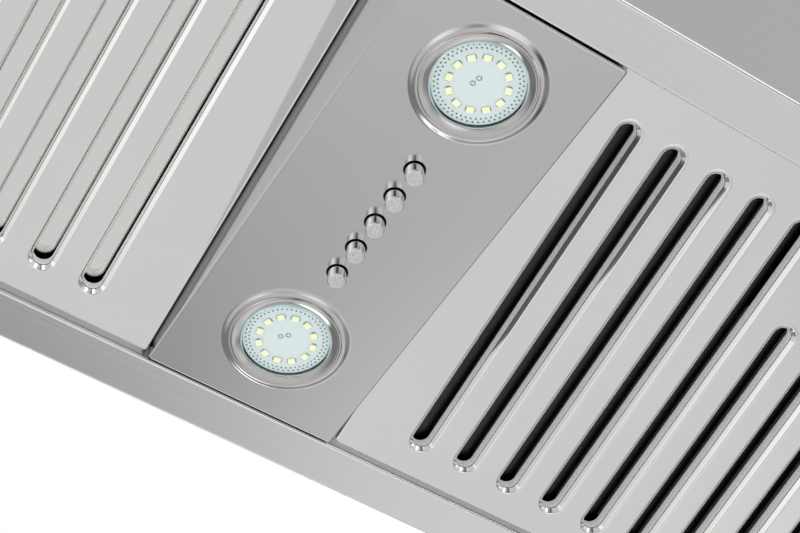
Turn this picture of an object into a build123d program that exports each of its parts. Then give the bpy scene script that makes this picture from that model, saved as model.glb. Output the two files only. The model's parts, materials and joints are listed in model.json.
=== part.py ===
from build123d import *
import os
from math import cos, radians, sin

os.makedirs("parts", exist_ok=True)

# A range hood insert: a steel canopy box that is open underneath, a flush control panel across its
# middle with two lamps and five buttons, a tilted baffle filter on each side, and a centrifugal
# blower in a box on top. X runs along the hood, Y from the front to the rear, Z up. The origin is
# the middle of the footprint, at the level of the button tips. Millimetres and degrees.

# ---------------------------------------------------------------- driving dimensions
# Canopy
canopy_depth = 290.0
canopy_height = 140.0  # underside to the top of the walls
canopy_sheet = 0.9
canopy_bend = 1.6  # outside radius of a folded edge
front_flange = 24.5
rear_flange = 24.2
side_flange = 24.5
lip_height = 10.0  # turned-up inner edge of a flange
top_flange = 14.0
top_sheet = 1.0
hanging_hole_radius = 3.25
hanging_spacing_x = 780.0
hanging_spacing_y = 220.0

# Control panel
panel_width = 96.5
panel_wall = 100.0
panel_end_flange = 12.0
panel_gap = 0.95  # between the panel's ends and the flange lips
panel_corner = 1.2
bracket_width = 80.0
bracket_rise = 40.0  # height of a bracket's shelf above the underside
bracket_tab = 18.0
conduit_radius = 8.0
conduit_wall = 1.0
conduit_inset = 14.0  # from the blower box's front wall to the conduit's middle

# Buttons and their switch module
button_proud = 6.4
button_radius = 4.15
button_share = 0.0668338  # of the panel's length, from button to button
button_count = 5
button_offset = -0.75  # of their row from the panel's middle
button_gap = 0.65  # around a button in its hole
button_travel = 3.0
button_collar = 1.15  # how far the collar stands out
button_collar_thickness = 1.2
stem_radius = 2.6
stem_length = 11.6
stem_gap = 0.3
module_width = 26.0
module_height = 28.0
module_foot = 5.6
module_foot_gap = 1.0  # from a foot to the next button's collar
module_corner = 2.0
stem_rest = 1.0  # left above a stem when its button is pressed
blade_height = 8.0
blade_width = 6.3
blade_sheet = 0.8
blade_spacing = 10.0

# Lamps
lamp_front_share = 0.156850  # of the panel's length, from its front end to the lamp's middle
lamp_rear_share = 0.181078
boss_radius = 29.6
boss_rise = 1.1  # of the pressed boss below the panel's face
boss_margin = 0.6  # from the ring to the boss's slope
ring_radius = 25.3
ring_seat = 1.95  # width of the ring's flange on the boss
ring_hub_height = 2.4
ring_wall = 0.9
ring_proud = 1.7  # below the panel's face
ring_edge = 0.4
ring_lip = 1.1
ring_steps = ((1.4, 0.1), (2.0, 0.15))  # inset and height of the steps inside its lip
ring_slope_width = 2.15  # from the hub to the bore
ring_slope = 1.6  # height over the lip where the slope inside the steps meets the bore
barrel_gap = 0.25
barrel_height = 7.5
lens_gap = 0.35
lens_proud = 1.5
lens_thickness = 2.4
lens_edge = 0.8
board_radius = 19.8
board_thickness = 1.25
chip_count = 12
chip_circle = 12.67
chip_long = 3.5
chip_short = 2.8
chip_height = 0.7
chip_gap = 0.05
lamp_body_height = 21.0
fin_count = 4
fin_depth = 3.0

# Baffle filters
filter_tilt = 14.1
filter_sheet = 0.7
filter_depth = 14.0
filter_length = 231.0
filter_rear_rise = 2.1  # outer face above the underside, at the rear edge
filter_rear_gap = 2.4
filter_side_gap = 1.95
filter_hem = 4.0
filter_corner = 1.0
slot_count = 13
slot_pitch = 24.85
slot_edge = 37.2  # filter's side to the middle of the first slot
slot_width = 13.3  # over the rolled rims
slot_throat = 9.2
slot_length = 189.5
short_slot_length = 140.8
short_slots = 3  # in the middle, behind the latch
slot_rear_margin = 13.4
rim_depth = 8.3  # from the outer face to the free edge of a rolled rim
plate_gap = 0.1  # inner plate inside the outer plate's rim
tab_width = 16.0
tab_length = 5.0
tab_thickness = 1.2
tab_gap = 0.2  # between a rear tab and the lip that it rests on
tab_offset = 130.0
drain_width = 24.0
drain_height = 2.4
drain_count = 6
drain_pitch = 48.0

# Latch of each filter
latch_travel = 8.0
latch_reach = 32.8  # from the short slots' front ends to the knob
tongue_reach = 6.0
tongue_width = 16.0
bolt_width = 20.0
bolt_sheet = 1.2
bolt_tail = 19.0  # from the knob to the bolt's rear end
slide_gap = 0.3
cover_sheet = 0.9
cover_foot = 7.0
cover_setback = 8.0  # from the filter's front edge
cover_rest = 2.0  # left behind the bolt when it is pulled back
spring_radius = 1.7
spring_wire = 0.35
spring_pitch = 2.8
spring_gap = 0.15
spring_seat = 8.0  # from the knob's middle to the spring
knob_radius = 10.0
knob_neck = 4.0
knob_height = 14.0
knob_flare_start = 3.0
knob_flare_end = 5.0
knob_shoulder = 8.0
knob_edge = 1.0
knob_round = 1.5
catch_sheet = 0.5
catch_gap = 0.3
catch_width = 15.0
catch_foot = 12.0
catch_nose = 3.0  # how far the nose reaches under the tongue
catch_back = 2.0  # from the tongue's tip to the catch's upright
catch_drop = 5.0
catch_bend = 0.6

# Front rails
rail_sheet = 0.9
rail_gap = 1.1  # above the filter's highest edge
rail_tab = 18.0
rail_cover = 4.5  # how far the shelf reaches over the filter
rail_lip = 7.0

# Blower
box_width = 340.0
box_depth = 224.0
box_height = 138.0
box_sheet = 1.0
box_flange = 14.0
box_y = 12.0
box_corner = 4.0
inlet_opening_width = 300.0
inlet_opening_depth = 180.0
inlet_opening_y = 17.0
inlet_opening_corner = 10.0
collar_y = -20.0
axis_y = 38.0  # impeller axis
axis_rise = 60.0  # above the top plate
impeller_radius = 62.0
impeller_width = 110.0
blade_count = 32
blade_depth = 11.0
blade_thickness = 0.8
blade_curve = 4.0
end_ring = 2.5
hub_radius = 11.0
hub_length = 16.0
disc_thickness = 1.5
shaft_radius = 4.0
shaft_gap = 0.3
shaft_end = 4.0  # beyond the hub
shaft_rest = 2.0  # of the motor's bore left free behind the shaft
scroll_width = 120.0
scroll_sheet = 1.0
scroll_left = 98.0  # volute: axis to the outlet's outer wall
scroll_radii = (93.0, 84.0, 75.0, 68.0)  # of its four arcs
scroll_tongue = 20.0  # degrees of the last arc
inlet_radius = 50.0
inlet_lip = 8.0
inlet_ring_gap = 0.3
inlet_ring_depth = 4.0
motor_radius = 38.0
motor_length = 62.0
motor_corner = 5.0
motor_clearance = 8.0  # from the motor to the impeller's disc
mount_ring = 3.0
mount_width = 14.0
mount_arms = 3
mount_foot = 62.0
mount_sheet = 2.0
capacitor_radius = 15.0
capacitor_length = 60.0
capacitor_corner = 2.0

# Duct collar and damper
duct_radius = 75.0
duct_wall = 1.2
duct_height = 50.0
duct_flange = 10.0
duct_flange_thickness = 1.5
damper_rise = 14.0  # pin above the blower box
damper_gap = 1.2  # between a flap and the collar's wall
flap_thickness = 1.0
pin_radius = 2.0
pin_gap = 0.05
knuckle_wall = 1.55
knuckle_length = 18.0
knuckle_gap = 0.5
stop_width = 1.8
stop_height = 2.5
stop_gap = 0.4

# Electrics
driver_length = 96.0
driver_width = 34.0
driver_height = 22.0
driver_offset = 39.85  # from the panel's middle
driver_corner = 3.0
terminal_width = 110.0
terminal_depth = 90.0
terminal_height = 48.0
terminal_sheet = 1.0
terminal_corner = 3.0
terminal_gap = 6.0  # from the blower box's flange
terminal_y = -15.0
cover_rim = 6.0
cover_gap = 0.2
gland_bore = 4.5
gland_body = 9.0
gland_nut = 12.0
gland_length = 24.0
gland_inside = 8.0
gland_nut_thickness = 6.0
gland_locknut_thickness = 5.0

# ---------------------------------------------------------------- places worked out from them
underside = button_proud
front_y = -canopy_depth / 2
rear_y = canopy_depth / 2
front_lip_y = front_y + front_flange
rear_lip_y = rear_y - rear_flange
canopy_top = underside + canopy_height
plate_top = canopy_top + top_sheet

panel_front_y = front_lip_y + panel_gap
panel_rear_y = rear_lip_y - panel_gap
panel_length = panel_rear_y - panel_front_y
panel_middle_y = (panel_front_y + panel_rear_y) / 2
panel_half = panel_width / 2
panel_top = underside + panel_wall
lamp_front_y = panel_front_y + lamp_front_share * panel_length
lamp_rear_y = panel_rear_y - lamp_rear_share * panel_length
button_pitch = button_share * panel_length
button_middle_y = panel_middle_y + button_offset
driver_y = panel_middle_y + driver_offset

filter_width = 2 * slot_edge + (slot_count - 1) * slot_pitch
filter_x = panel_half + filter_side_gap + filter_width / 2
side_lip_x = filter_x + filter_width / 2 + filter_side_gap
canopy_width = 2 * (side_lip_x + side_flange)
side_x = canopy_width / 2
filter_rear_y = rear_lip_y - filter_rear_gap
filter_rear_z = underside + filter_rear_rise
rise = sin(radians(filter_tilt))
run = cos(radians(filter_tilt))

# highest edge of a filter, at its front
filter_front_top_y = filter_rear_y - filter_length * run + filter_depth * rise
filter_front_top_z = filter_rear_z + filter_length * rise + filter_depth * run
rail_z = filter_front_top_z + rail_gap
rail_end_y = filter_front_top_y + rail_cover

box_top = plate_top + box_height
conduit_y = box_y - box_depth / 2 + conduit_inset
terminal_x = box_width / 2 + box_flange + terminal_gap + terminal_width / 2
axis_z = plate_top + axis_rise
mouth_front_y = axis_y - scroll_left
mouth_rear_y = (
    mouth_front_y + scroll_radii[0] + scroll_radii[1] - scroll_radii[2] - scroll_radii[3] * sin(radians(scroll_tongue))
)
pin_z = box_top + damper_rise

filter_planes = {
    side: Plane(origin=(sign * filter_x, filter_rear_y, filter_rear_z), x_dir=(1, 0, 0), z_dir=(0, rise, run))
    for side, sign in (("left", -1), ("right", 1))
}


def save(piece, name):
    """Labels a finished piece and writes its file."""
    piece.part.label = name
    export_step(piece.part, f"parts/{name}.step")


def folded_section(points, side, radius=canopy_bend, thickness=canopy_sheet):
    """Draws the section of a folded sheet in the open sketch, from the line of its outer face."""
    with BuildLine(mode=Mode.PRIVATE) as run_of_face:
        FilletPolyline(*points, radius=radius)
        offset(amount=thickness, side=side)
    make_face(run_of_face.edges())


# ---------------------------------------------------------------- canopy
for name, lip_y, outer_y, inward, turn in (
    ("front_fascia", front_lip_y, front_y, 1, Side.RIGHT),
    ("rear_wall", rear_lip_y, rear_y, -1, Side.LEFT),
):
    with BuildPart() as long_wall:
        with BuildSketch(Plane.YZ.offset(-side_x)):
            folded_section(
                [
                    (lip_y, underside + lip_height),
                    (lip_y, underside),
                    (outer_y, underside),
                    (outer_y, canopy_top),
                    (outer_y + inward * top_flange, canopy_top),
                ],
                turn,
            )
        extrude(amount=canopy_width)
        # the lip ends inside the canopy's sides
        with BuildSketch(Plane.XY.offset(underside + 2 * canopy_sheet)):
            with Locations((-side_x, lip_y), (side_x, lip_y)):
                Rectangle(2 * canopy_bend, 4 * canopy_sheet)
        extrude(amount=lip_height, mode=Mode.SUBTRACT)
    save(long_wall, name)

# A side stands between the front and rear walls. Its flanges are notched out where theirs lie.
for side, sign in (("left", -1), ("right", 1)):
    with BuildPart() as canopy_side:
        with BuildSketch(Plane.XZ.offset(-rear_y + canopy_sheet)):
            folded_section(
                [
                    (sign * side_lip_x, underside + lip_height),
                    (sign * side_lip_x, underside),
                    (sign * side_x, underside),
                    (sign * side_x, canopy_top),
                    (sign * (side_x - top_flange), canopy_top),
                ],
                Side.LEFT if sign > 0 else Side.RIGHT,
            )
        extrude(amount=canopy_depth - 2 * canopy_sheet)
        for end_y, lip_y in ((front_y, front_lip_y), (rear_y, rear_lip_y)):
            inward = 1 if end_y < 0 else -1
            with BuildSketch(Plane.XY.offset(underside)):
                with Locations((sign * side_x, (end_y + lip_y) / 2)):
                    Rectangle(2 * (side_flange + canopy_sheet), abs(lip_y - end_y))
            extrude(amount=2 * canopy_sheet, mode=Mode.SUBTRACT)
            with BuildSketch(Plane.XY.offset(underside)):
                with Locations((sign * side_lip_x, (end_y + lip_y) / 2)):
                    Rectangle(2 * (side_flange - canopy_bend), abs(lip_y - end_y))
            extrude(amount=lip_height, mode=Mode.SUBTRACT)
            with BuildSketch(Plane.XY.offset(canopy_top)):
                with Locations((sign * side_x, end_y + inward * top_flange / 2)):
                    Rectangle(4 * top_flange, top_flange)
            extrude(amount=-2 * canopy_sheet, mode=Mode.SUBTRACT)
    save(canopy_side, f"canopy_side_{side}")

with BuildPart() as top_plate:
    with BuildSketch(Plane.XY.offset(canopy_top)):
        RectangleRounded(canopy_width, canopy_depth, canopy_bend)
        with Locations((0, inlet_opening_y)):
            RectangleRounded(inlet_opening_width, inlet_opening_depth, inlet_opening_corner, mode=Mode.SUBTRACT)
        with Locations((0, conduit_y)):
            Circle(conduit_radius, mode=Mode.SUBTRACT)
        with GridLocations(hanging_spacing_x, hanging_spacing_y, 2, 2):
            Circle(hanging_hole_radius, mode=Mode.SUBTRACT)
    extrude(amount=top_sheet)
save(top_plate, "top_plate")

# ---------------------------------------------------------------- front rails and spring catches
rail_inner_x = panel_half + slide_gap
rail_outer_x = side_x - canopy_sheet - slide_gap
wall_y = front_y + canopy_sheet
for side, sign in (("left", -1), ("right", 1)):
    with BuildPart() as front_rail:
        with BuildSketch(Plane.YZ.offset(rail_inner_x if sign > 0 else -rail_outer_x)):
            folded_section(
                [
                    (wall_y, rail_z + rail_tab),
                    (wall_y, rail_z),
                    (rail_end_y, rail_z),
                    (rail_end_y, rail_z + rail_lip),
                ],
                Side.LEFT,
                thickness=rail_sheet,
            )
        extrude(amount=rail_outer_x - rail_inner_x)
    save(front_rail, f"front_rail_{side}")

# The catch hangs from the rail in front of the filter. Its nose lies just under the latch tongue.
tongue_tip = -filter_length - tongue_reach
catch_w = slide_gap + filter_sheet - catch_gap
nose = filter_planes["right"].from_local_coords((0, tongue_tip + catch_nose, catch_w))
nose_root = filter_planes["right"].from_local_coords((0, tongue_tip - catch_back, catch_w))
catch_y = nose_root.Y - 2 * catch_sheet
for side, sign in (("left", -1), ("right", 1)):
    with BuildPart() as catch:
        with BuildSketch(Plane.YZ.offset(sign * filter_x - catch_width / 2)):
            folded_section(
                [
                    (catch_y - catch_foot, rail_z),
                    (catch_y, rail_z),
                    (catch_y, nose_root.Z),
                    (nose.Y, nose.Z),
                    (catch_y, nose.Z - catch_drop),
                ],
                Side.RIGHT,
                radius=catch_bend,
                thickness=catch_sheet,
            )
        extrude(amount=catch_width)
    save(catch, f"catch_{side}")

# ---------------------------------------------------------------- control panel
lamp_places = (("front", lamp_front_y), ("rear", lamp_rear_y))
button_places = [button_middle_y + (i - (button_count - 1) / 2) * button_pitch for i in range(button_count)]
hole_in_seat = ring_radius - ring_seat
boss_top = ring_radius + boss_margin

with BuildPart() as control_panel:
    with BuildSketch(Plane.XY.offset(underside)):
        with Locations((0, panel_middle_y)):
            Rectangle(panel_width, panel_length)
    extrude(amount=panel_wall)
    fillet(
        control_panel.edges().filter_by(Axis.Z) + control_panel.edges().group_by(Axis.Z)[0],
        radius=panel_corner,
    )
    with BuildSketch(Plane.XY.offset(underside + canopy_sheet)):
        with Locations((0, panel_middle_y)):
            Rectangle(panel_width - 2 * canopy_sheet, panel_length - 2 * canopy_sheet)
    extrude(amount=panel_wall, mode=Mode.SUBTRACT)
    # the ends are open above their short flanges
    with BuildSketch(Plane.XY.offset(underside + panel_end_flange)):
        with Locations((0, panel_middle_y)):
            Rectangle(panel_width - 2 * canopy_sheet, panel_length)
    extrude(amount=panel_wall, mode=Mode.SUBTRACT)
    with BuildSketch(Plane.XY.offset(underside)):
        with Locations(*[(0, y) for y in button_places]):
            Circle(button_radius + button_gap)
        with Locations(*[(0, y) for _, y in lamp_places]):
            Circle(boss_radius)
    extrude(amount=canopy_sheet, mode=Mode.SUBTRACT)
    # each lamp sits on a pressed boss with a flat seat
    for _, lamp_y in lamp_places:
        with BuildSketch(Plane.XZ.offset(-lamp_y)):
            with Locations((0, underside)):
                Polygon(
                    (boss_radius, 0),
                    (boss_radius, canopy_sheet),
                    (boss_top, canopy_sheet - boss_rise),
                    (hole_in_seat, canopy_sheet - boss_rise),
                    (hole_in_seat, -boss_rise),
                    (boss_top, -boss_rise),
                    align=None,
                )
        revolve(axis=Axis((0, lamp_y, 0), (0, 0, 1)))
save(control_panel, "control_panel")

with BuildPart() as panel_cover:
    with BuildSketch(Plane.XY.offset(panel_top)):
        with Locations((0, panel_middle_y)):
            Rectangle(panel_width, panel_length)
        with Locations((0, conduit_y)):
            Circle(conduit_radius, mode=Mode.SUBTRACT)
    extrude(amount=canopy_sheet)
    flange_x = panel_half - canopy_sheet - plate_gap - canopy_sheet / 2
    with BuildSketch(Plane.XY.offset(panel_top)):
        with Locations((-flange_x, panel_middle_y), (flange_x, panel_middle_y)):
            Rectangle(canopy_sheet, panel_length)
    extrude(amount=-panel_end_flange)
save(panel_cover, "panel_cover")

# Brackets carry the panel's ends from the front and rear walls.
for end, panel_y, wall, turn in (
    ("front", panel_front_y + canopy_sheet, front_y + canopy_sheet, Side.RIGHT),
    ("rear", panel_rear_y - canopy_sheet, rear_y - canopy_sheet, Side.LEFT),
):
    with BuildPart() as panel_bracket:
        with BuildSketch(Plane.YZ.offset(-bracket_width / 2)):
            folded_section(
                [
                    (panel_y, underside + 2 * canopy_sheet),
                    (panel_y, underside + bracket_rise),
                    (wall, underside + bracket_rise),
                    (wall, underside + bracket_rise + bracket_tab),
                ],
                turn,
            )
        extrude(amount=bracket_width)
    save(panel_bracket, f"panel_bracket_{end}")

with BuildPart() as cable_conduit:
    with BuildSketch(Plane.XY.offset(panel_top - panel_end_flange)):
        with Locations((0, conduit_y)):
            Circle(conduit_radius)
            Circle(conduit_radius - conduit_wall, mode=Mode.SUBTRACT)
    extrude(amount=plate_top - panel_top + 2 * panel_end_flange)
save(cable_conduit, "cable_conduit")

with BuildPart() as led_driver:
    with BuildSketch(Plane.XY.offset(panel_top)):
        with Locations((0, driver_y)):
            RectangleRounded(driver_width, driver_length, driver_corner)
    extrude(amount=-driver_height)
    fillet(led_driver.edges().group_by(Axis.Z)[0], radius=driver_corner / 2)
save(led_driver, "led_driver")

# ---------------------------------------------------------------- buttons and switch module
collar_z = underside + canopy_sheet + slide_gap
module_z = collar_z + button_collar_thickness + button_travel + slide_gap
module_length = (button_count - 1) * button_pitch + 2 * (button_radius + button_collar + module_foot + module_foot_gap)
bore_depth = stem_length - (module_z - collar_z - button_collar_thickness) + button_travel + stem_rest

with BuildPart() as switch_module:
    with BuildSketch(Plane.XY.offset(module_z)):
        with Locations((0, button_middle_y)):
            RectangleRounded(module_width, module_length, module_corner)
    extrude(amount=module_height)
    foot_y = (module_length - module_foot) / 2
    with BuildSketch(Plane.XY.offset(underside + canopy_sheet)):
        with Locations((0, button_middle_y - foot_y), (0, button_middle_y + foot_y)):
            Rectangle(module_width, module_foot)
    extrude(amount=module_z - underside)
    with BuildSketch(Plane.XY.offset(module_z)):
        with Locations(*[(0, y) for y in button_places]):
            Circle(stem_radius + stem_gap)
    extrude(amount=bore_depth, mode=Mode.SUBTRACT)
    with BuildSketch(Plane.XY.offset(module_z + module_height)):
        with Locations((0, button_middle_y)):
            with GridLocations(blade_spacing, button_pitch, 2, button_count):
                Rectangle(blade_sheet, blade_width)
    extrude(amount=blade_height)
save(switch_module, "switch_module")

for number, button_y in enumerate(button_places, start=1):
    with BuildPart() as button:
        with BuildSketch(Plane.XZ.offset(-button_y)):
            with BuildLine():
                Polyline(
                    (0, underside - button_proud),
                    (button_radius, underside - button_proud),
                    (button_radius, collar_z),
                    (button_radius + button_collar, collar_z),
                    (button_radius + button_collar, collar_z + button_collar_thickness),
                    (stem_radius, collar_z + button_collar_thickness),
                    (stem_radius, collar_z + button_collar_thickness + stem_length),
                    (0, collar_z + button_collar_thickness + stem_length),
                    close=True,
                )
            make_face()
        revolve(axis=Axis((0, button_y, 0), (0, 0, 1)))
        fillet(button.edges().group_by(Axis.Z)[0], radius=0.4)
    save(button, f"button_{number}")

# ---------------------------------------------------------------- lamps
hub_radius = hole_in_seat - barrel_gap
barrel_inner = hub_radius - ring_slope_width
barrel_outer = barrel_inner + ring_wall
seat_z = underside - boss_rise
lens_radius = barrel_inner - lens_gap
lip_z = underside - ring_proud
lens_z = underside - lens_proud
chip_z = lens_z + lens_thickness + chip_gap
board_z = chip_z + chip_height
body_z = board_z + board_thickness

for place, lamp_y in lamp_places:
    section = Plane.XZ.offset(-lamp_y)
    lamp_axis = Axis((0, lamp_y, 0), (0, 0, 1))
    with BuildPart() as lamp_ring:
        with BuildSketch(section):
            with BuildLine():
                Polyline(
                    (ring_radius, seat_z),
                    (ring_radius, lip_z + ring_edge),
                    (ring_radius - ring_edge, lip_z),
                    (ring_radius - ring_lip, lip_z),
                    *[(ring_radius - inset, lip_z + height) for inset, height in ring_steps],
                    (barrel_inner, lip_z + ring_slope),
                    (barrel_inner, underside + barrel_height),
                    (barrel_outer, underside + barrel_height),
                    (barrel_outer, seat_z + ring_hub_height),
                    (hub_radius, seat_z + ring_hub_height),
                    (hub_radius, seat_z),
                    close=True,
                )
            make_face()
        revolve(axis=lamp_axis)
    save(lamp_ring, f"lamp_ring_{place}")

    with BuildPart() as lamp_lens:
        with BuildSketch(section):
            with BuildLine():
                Polyline(
                    (0, lens_z),
                    (lens_radius - lens_edge, lens_z),
                    (lens_radius, lens_z + lens_edge),
                    (lens_radius, lens_z + lens_thickness),
                    (0, lens_z + lens_thickness),
                    close=True,
                )
            make_face()
        revolve(axis=lamp_axis)
    save(lamp_lens, f"lamp_lens_{place}")

    with BuildPart() as led_board:
        with BuildSketch(Plane.XY.offset(board_z)):
            with Locations((0, lamp_y)):
                Circle(board_radius)
        extrude(amount=board_thickness)
    save(led_board, f"led_board_{place}")

    with BuildPart() as led_chips:
        with BuildSketch(Plane.XY.offset(chip_z)):
            with Locations((0, lamp_y)):
                with PolarLocations(chip_circle, chip_count, start_angle=15):
                    Rectangle(chip_short, chip_long)
        extrude(amount=chip_height)
    save(led_chips, f"led_chips_{place}")

    # finned aluminium body, whose flange stands on the ring's barrel
    with BuildPart() as lamp_body:
        body_radius = barrel_inner - barrel_gap
        body_flange_z = underside + barrel_height + chip_gap
        with BuildSketch(section):
            with BuildLine():
                Polyline(
                    (0, body_z),
                    (body_radius, body_z),
                    (body_radius, body_flange_z),
                    (barrel_outer, body_flange_z),
                    (barrel_outer, body_z + lamp_body_height),
                    (0, body_z + lamp_body_height),
                    close=True,
                )
            make_face()
        revolve(axis=lamp_axis)
        fin_pitch = (lamp_body_height - 2 * fin_depth) / fin_count
        for fin in range(fin_count):
            with BuildSketch(Plane.XY.offset(body_flange_z + 2 * canopy_sheet + (fin + 0.4) * fin_pitch)):
                with Locations((0, lamp_y)):
                    Circle(barrel_outer + fin_depth)
                    Circle(barrel_outer - fin_depth, mode=Mode.SUBTRACT)
            extrude(amount=fin_pitch / 2, mode=Mode.SUBTRACT)
    save(lamp_body, f"lamp_body_{place}")

# ---------------------------------------------------------------- baffle filters
middle_slots = range((slot_count - short_slots) // 2, (slot_count + short_slots) // 2)
roll = (slot_width - slot_throat) / 2
outer_slots = [
    ((i - (slot_count - 1) / 2) * slot_pitch, short_slot_length if i in middle_slots else slot_length)
    for i in range(slot_count)
]
# The inner plate's slots lie behind the outer plate's lands, so every way through is bent twice.
inner_slots = [
    (
        (i - (slot_count - 2) / 2) * slot_pitch,
        short_slot_length if i in middle_slots or i + 1 in middle_slots else slot_length,
    )
    for i in range(slot_count - 1)
]


def slot_outlines(slots, grow):
    """Draws the slots in the open sketch, their throats widened by grow on every side."""
    for x, length in slots:
        with Locations((x, -slot_rear_margin - length / 2)):
            SlotOverall(length - 2 * roll + 2 * grow, slot_throat + 2 * grow, rotation=90)


def rim_edges(piece, plane, height, margin):
    """Edges that lie at a height over the filter's outer face and inside its outline."""
    found = []
    for edge in piece.edges():
        spots = [plane.to_local_coords(edge @ t) for t in (0, 0.5, 1)]
        level = all(abs(p.Z - height) < 0.01 for p in spots)
        inside = all(
            abs(p.X) < filter_width / 2 - margin and -filter_length + margin < p.Y < -margin for p in spots
        )
        if level and inside:
            found.append(edge)
    return found


bolt_z = filter_sheet + slide_gap
bolt_height = bolt_sheet + 2 * (spring_radius + spring_wire + spring_gap)
knob_v = -slot_rear_margin - short_slot_length - latch_reach
cover_inside = bolt_z + bolt_height + slide_gap
cover_front = -filter_length + cover_setback
cover_rear = knob_v + bolt_tail + latch_travel + cover_rest
spring_front = knob_v + spring_seat

for side, face in filter_planes.items():
    with BuildPart() as filter_face:
        with BuildSketch(face):
            with Locations((0, -filter_length / 2)):
                Rectangle(filter_width, filter_length)
        extrude(amount=filter_depth)
        fillet(rim_edges(filter_face, face, 0, -1), radius=filter_corner)
        with BuildSketch(face.offset(filter_sheet)):
            with Locations((0, -filter_length / 2)):
                Rectangle(filter_width - 2 * filter_sheet, filter_length - 2 * filter_sheet)
        extrude(amount=filter_depth - 2 * filter_sheet, mode=Mode.SUBTRACT)
        with BuildSketch(face.offset(filter_depth)):
            with Locations((0, -filter_length / 2)):
                Rectangle(filter_width - 2 * filter_hem, filter_length - 2 * filter_hem)
        extrude(amount=-2 * filter_sheet, mode=Mode.SUBTRACT)
        # rolled rims of the slots
        with BuildSketch(face.offset(filter_sheet)):
            slot_outlines(outer_slots, filter_sheet)
        extrude(amount=rim_depth - filter_sheet)
        with BuildSketch(face):
            slot_outlines(outer_slots, 0)
        extrude(amount=rim_depth, mode=Mode.SUBTRACT)
        fillet(rim_edges(filter_face, face, 0, 4), radius=roll)
        # way for the knob's neck, window for the tongue, drains at the low rear end
        with BuildSketch(face):
            with Locations((0, knob_v + latch_travel / 2)):
                SlotOverall(2 * (knob_neck + slide_gap) + latch_travel, 2 * (knob_neck + slide_gap), rotation=90)
        extrude(amount=filter_sheet, mode=Mode.SUBTRACT)
        with BuildSketch(face.offset(bolt_z - slide_gap)):
            with Locations((0, -filter_length + filter_sheet / 2)):
                Rectangle(tongue_width + 2 * slide_gap, filter_sheet)
        extrude(amount=bolt_sheet + 2 * slide_gap, mode=Mode.SUBTRACT)
        with BuildSketch(face.offset(filter_sheet)):
            with Locations((0, -filter_sheet / 2)):
                with GridLocations(drain_pitch, 1, drain_count, 1):
                    Rectangle(drain_width, filter_sheet)
        extrude(amount=drain_height, mode=Mode.SUBTRACT)
        # rear tabs, which rest on the rear flange's lip
        lip_top = face.to_local_coords(Vector(0, rear_lip_y + canopy_sheet, underside + lip_height + tab_gap))
        with BuildSketch(face.offset(lip_top.Z)):
            with Locations((-tab_offset, tab_length / 2), (tab_offset, tab_length / 2)):
                Rectangle(tab_width, tab_length)
        extrude(amount=tab_thickness)
    save(filter_face, f"filter_face_{side}")

    back_top = filter_depth - filter_sheet - plate_gap
    with BuildPart() as filter_back:
        with BuildSketch(face.offset(filter_sheet + plate_gap)):
            with Locations((0, -filter_length / 2)):
                Rectangle(
                    filter_width - 2 * (filter_sheet + plate_gap),
                    filter_length - 2 * (filter_sheet + plate_gap),
                )
        extrude(amount=back_top - filter_sheet - plate_gap)
        with BuildSketch(face.offset(filter_sheet + plate_gap)):
            with Locations((0, -filter_length / 2)):
                Rectangle(
                    filter_width - 2 * (2 * filter_sheet + plate_gap),
                    filter_length - 2 * (2 * filter_sheet + plate_gap),
                )
        extrude(amount=back_top - 2 * filter_sheet - plate_gap, mode=Mode.SUBTRACT)
        with BuildSketch(face.offset(back_top - filter_sheet)):
            slot_outlines(inner_slots, filter_sheet)
        extrude(amount=-rim_depth + filter_sheet)
        with BuildSketch(face.offset(back_top)):
            slot_outlines(inner_slots, 0)
        extrude(amount=-rim_depth, mode=Mode.SUBTRACT)
        # the front wall leaves room for the tongue, the rear wall for the drains
        with BuildSketch(face.offset(filter_sheet)):
            with Locations((0, -filter_length)):
                Rectangle(bolt_width + 2 * slide_gap, 8 * filter_sheet)
            with Locations((0, 0)):
                with GridLocations(drain_pitch, 1, drain_count, 1):
                    Rectangle(drain_width, 8 * filter_sheet)
        extrude(amount=bolt_height + 2 * slide_gap, mode=Mode.SUBTRACT)
    save(filter_back, f"filter_back_{side}")

    # ------------------------------------------------------------ latch
    across = Plane(origin=face.from_local_coords((0, cover_front, 0)), x_dir=(1, 0, 0), z_dir=(0, -run, rise))
    with BuildPart() as latch_cover:
        inner_half = bolt_width / 2 + slide_gap
        with BuildSketch(across):
            with BuildLine():
                Polyline(
                    (-inner_half - cover_foot, filter_sheet),
                    (-inner_half, filter_sheet),
                    (-inner_half, cover_inside),
                    (inner_half, cover_inside),
                    (inner_half, filter_sheet),
                    (inner_half + cover_foot, filter_sheet),
                    (inner_half + cover_foot, filter_sheet + cover_sheet),
                    (inner_half + cover_sheet, filter_sheet + cover_sheet),
                    (inner_half + cover_sheet, cover_inside + cover_sheet),
                    (-inner_half - cover_sheet, cover_inside + cover_sheet),
                    (-inner_half - cover_sheet, filter_sheet + cover_sheet),
                    (-inner_half - cover_foot, filter_sheet + cover_sheet),
                    close=True,
                )
            make_face()
        extrude(amount=cover_front - cover_rear)
        with BuildSketch(face.offset(filter_sheet)):
            with Locations((0, cover_rear - cover_sheet / 2)):
                Rectangle(2 * inner_half, cover_sheet)
        extrude(amount=cover_inside - filter_sheet)
    save(latch_cover, f"latch_cover_{side}")

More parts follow.
